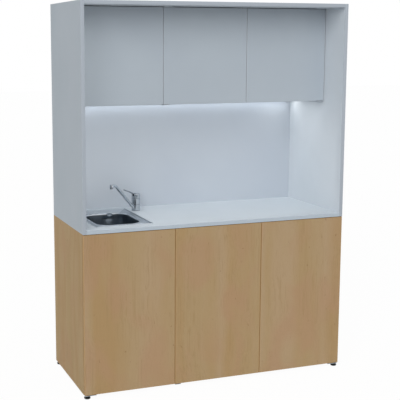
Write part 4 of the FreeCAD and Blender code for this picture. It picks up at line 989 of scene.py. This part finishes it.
def makeTapSupply():  # backnut with flats, and the two drawn tails that feed the tap
    finishTap("tapBacknut", turned(tapChoices["nut"], steps=12), "brass", "tap_nut", smoothAngle=30)
    bm = bmesh.new()
    for side in (-1, 1):
        axis = Vector((tapChoices["tailOut"] * side * mm, 0, 0))
        joinInto(bm, turned(tapChoices["tail"], steps=24, centre=axis))
    finishTap("supplyTailsDrawn", bm, "copper", "supply_tails", smoothAngle=40)


makeTapBody()
makeSpout()
makeAerator()
makeTapHead()
makeLever()
makeTapSupply()
print("tap made")


# Door pivots, screws, latches, pins and feet. Areas are in square millimetres, sunk panels as (in, draft, deep)

fittingChoices = {"plateRound": 0.25, "bushRound": 0.2, "plungerRound": 0.6, "pinRound": 0.4, "screwHead": 30,
                  "socket": (1.7, 0.2, 1.0), "caseRound": 0.8, "caseSide": 500, "casePanel": (2.2, 0.3, 0.5),
                  "yellowPlates": (0.5, 1)}  # heights in metres between which the pivot plates are yellow


def sunk(bm, faces, inside, draft, deep):  # presses a panel into each face, in millimetres
    bmesh.ops.inset_individual(bm, faces=faces, thickness=inside * mm)
    bmesh.ops.inset_individual(bm, faces=faces, thickness=draft * mm, depth=-deep * mm)


def makeFittings():
    low, high = fittingChoices["yellowPlates"]
    for row, finish in (("lower", "zinc"), ("upper", "whitePlate")):
        bm = nodeCopy(row + "_pivot_plates")
        bevelEdges(bm, fittingChoices["plateRound"], 1)
        for face in bm.faces:
            face.material_index = 1 if low < face.calc_center_median().z < high else 0
        finishPiece(row + "PivotPlates", bm, [finish, "darkZinc"], [row + "_pivot_plates"])
        for bay in ("left", "middle", "right"):
            softened(f"bushes_{row}_{bay}", "nylon", fittingChoices["bushRound"], 1)
            softened(f"plunger_{row}_{bay}", "latchPlunger", fittingChoices["plungerRound"])
    softened("rear_foot_plates", "zinc", fittingChoices["plateRound"], 1)
    softened("shelf_pins", "zinc", fittingChoices["pinRound"], 1)
    # Countersunk screws with a round socket for the driver
    bm = nodeCopy("plate_screws")
    heads = [face for face in bm.faces
             if len(face.verts) > 8 and face.calc_area() > fittingChoices["screwHead"] * mm ** 2]
    sunk(bm, heads, *fittingChoices["socket"])
    finishPiece("plateScrewsSocketed", bm, ["zinc"], ["plate_screws"], smoothAngle=35)
    # Push latches: cases with sunk side panels, as they leave the mould
    bm = nodeCopy("latch_cases")
    bevelEdges(bm, fittingChoices["caseRound"])
    sides = [face for face in bm.faces
             if face.calc_area() > fittingChoices["caseSide"] * mm ** 2 and abs(face.normal.y) < 0.1]
    sunk(bm, sides, *fittingChoices["casePanel"])
    finishPiece("latchCasesPanelled", bm, ["latchCase"], ["latch_cases"])


# Levelling foot: (radius, height) from the floor, and the stud's thread as the tap's shank
footChoices = {"pad": [(0, 0), (10.6, 0), (13.6, 0.7), (15.8, 2.2), (16.8, 4.2), (17, 6.4), (16.6, 8.6),
                       (15.2, 10.6), (12.6, 12), (8.6, 12.6), (5, 12.7)],
               "stud": (4, -0.35, 13.2, 0.62, 11), "studTop": [(3.4, 19.6), (0, 19.7)]}


def makeFeet():
    outline = footChoices["pad"] + threadOutline(*footChoices["stud"]) + footChoices["studTop"]
    for deep in ("front", "rear"):
        for side in ("left", "right"):
            node = f"foot_{deep}_{side}"
            low, high = (Vector(corner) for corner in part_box(node))
            bm = turned(outline, steps=48, centre=Vector(((low.x + high.x) / 2, (low.y + high.y) / 2, 0)))
            finishPiece(node + "Turned", bm, ["foot"], [node], smoothAngle=45)


housingChoices = {"round": 0.6, "groove": (3.5, 0.4, 0.6), "grooveStop": 8, "diffuserRound": 0.8,
                  "rockerRound": 0.7}


def makeLight():
    bm = nodeCopy("light_housing")
    bevelEdges(bm, housingChoices["round"])
    # The groove along the front stops before the pocket of the rocker
    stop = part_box("light_switch")[0][0] - housingChoices["grooveStop"] * mm
    ahead = [face for face in bm.faces if face.normal.y < -0.9]
    rim = list({item for face in ahead for item in (*face.edges, *face.verts)})
    bmesh.ops.bisect_plane(bm, geom=ahead + rim, dist=weldGap, plane_co=(stop, 0, 0), plane_no=(1, 0, 0))
    front = [face for face in bm.faces if face.normal.y < -0.9 and face.calc_center_median().x < stop]
    sunk(bm, [max(front, key=lambda face: face.calc_area())], *housingChoices["groove"])
    finishPiece("lightHousingGrooved", bm, ["lightCase"], ["light_housing"])
    softened("light_diffuser", "opal", housingChoices["diffuserRound"])
    softened("light_switch", "rocker", housingChoices["rockerRound"])


makeFittings()
makeFeet()
makeLight()
print("fittings, feet and light made")

aimLamps()
print("lamps aimed")
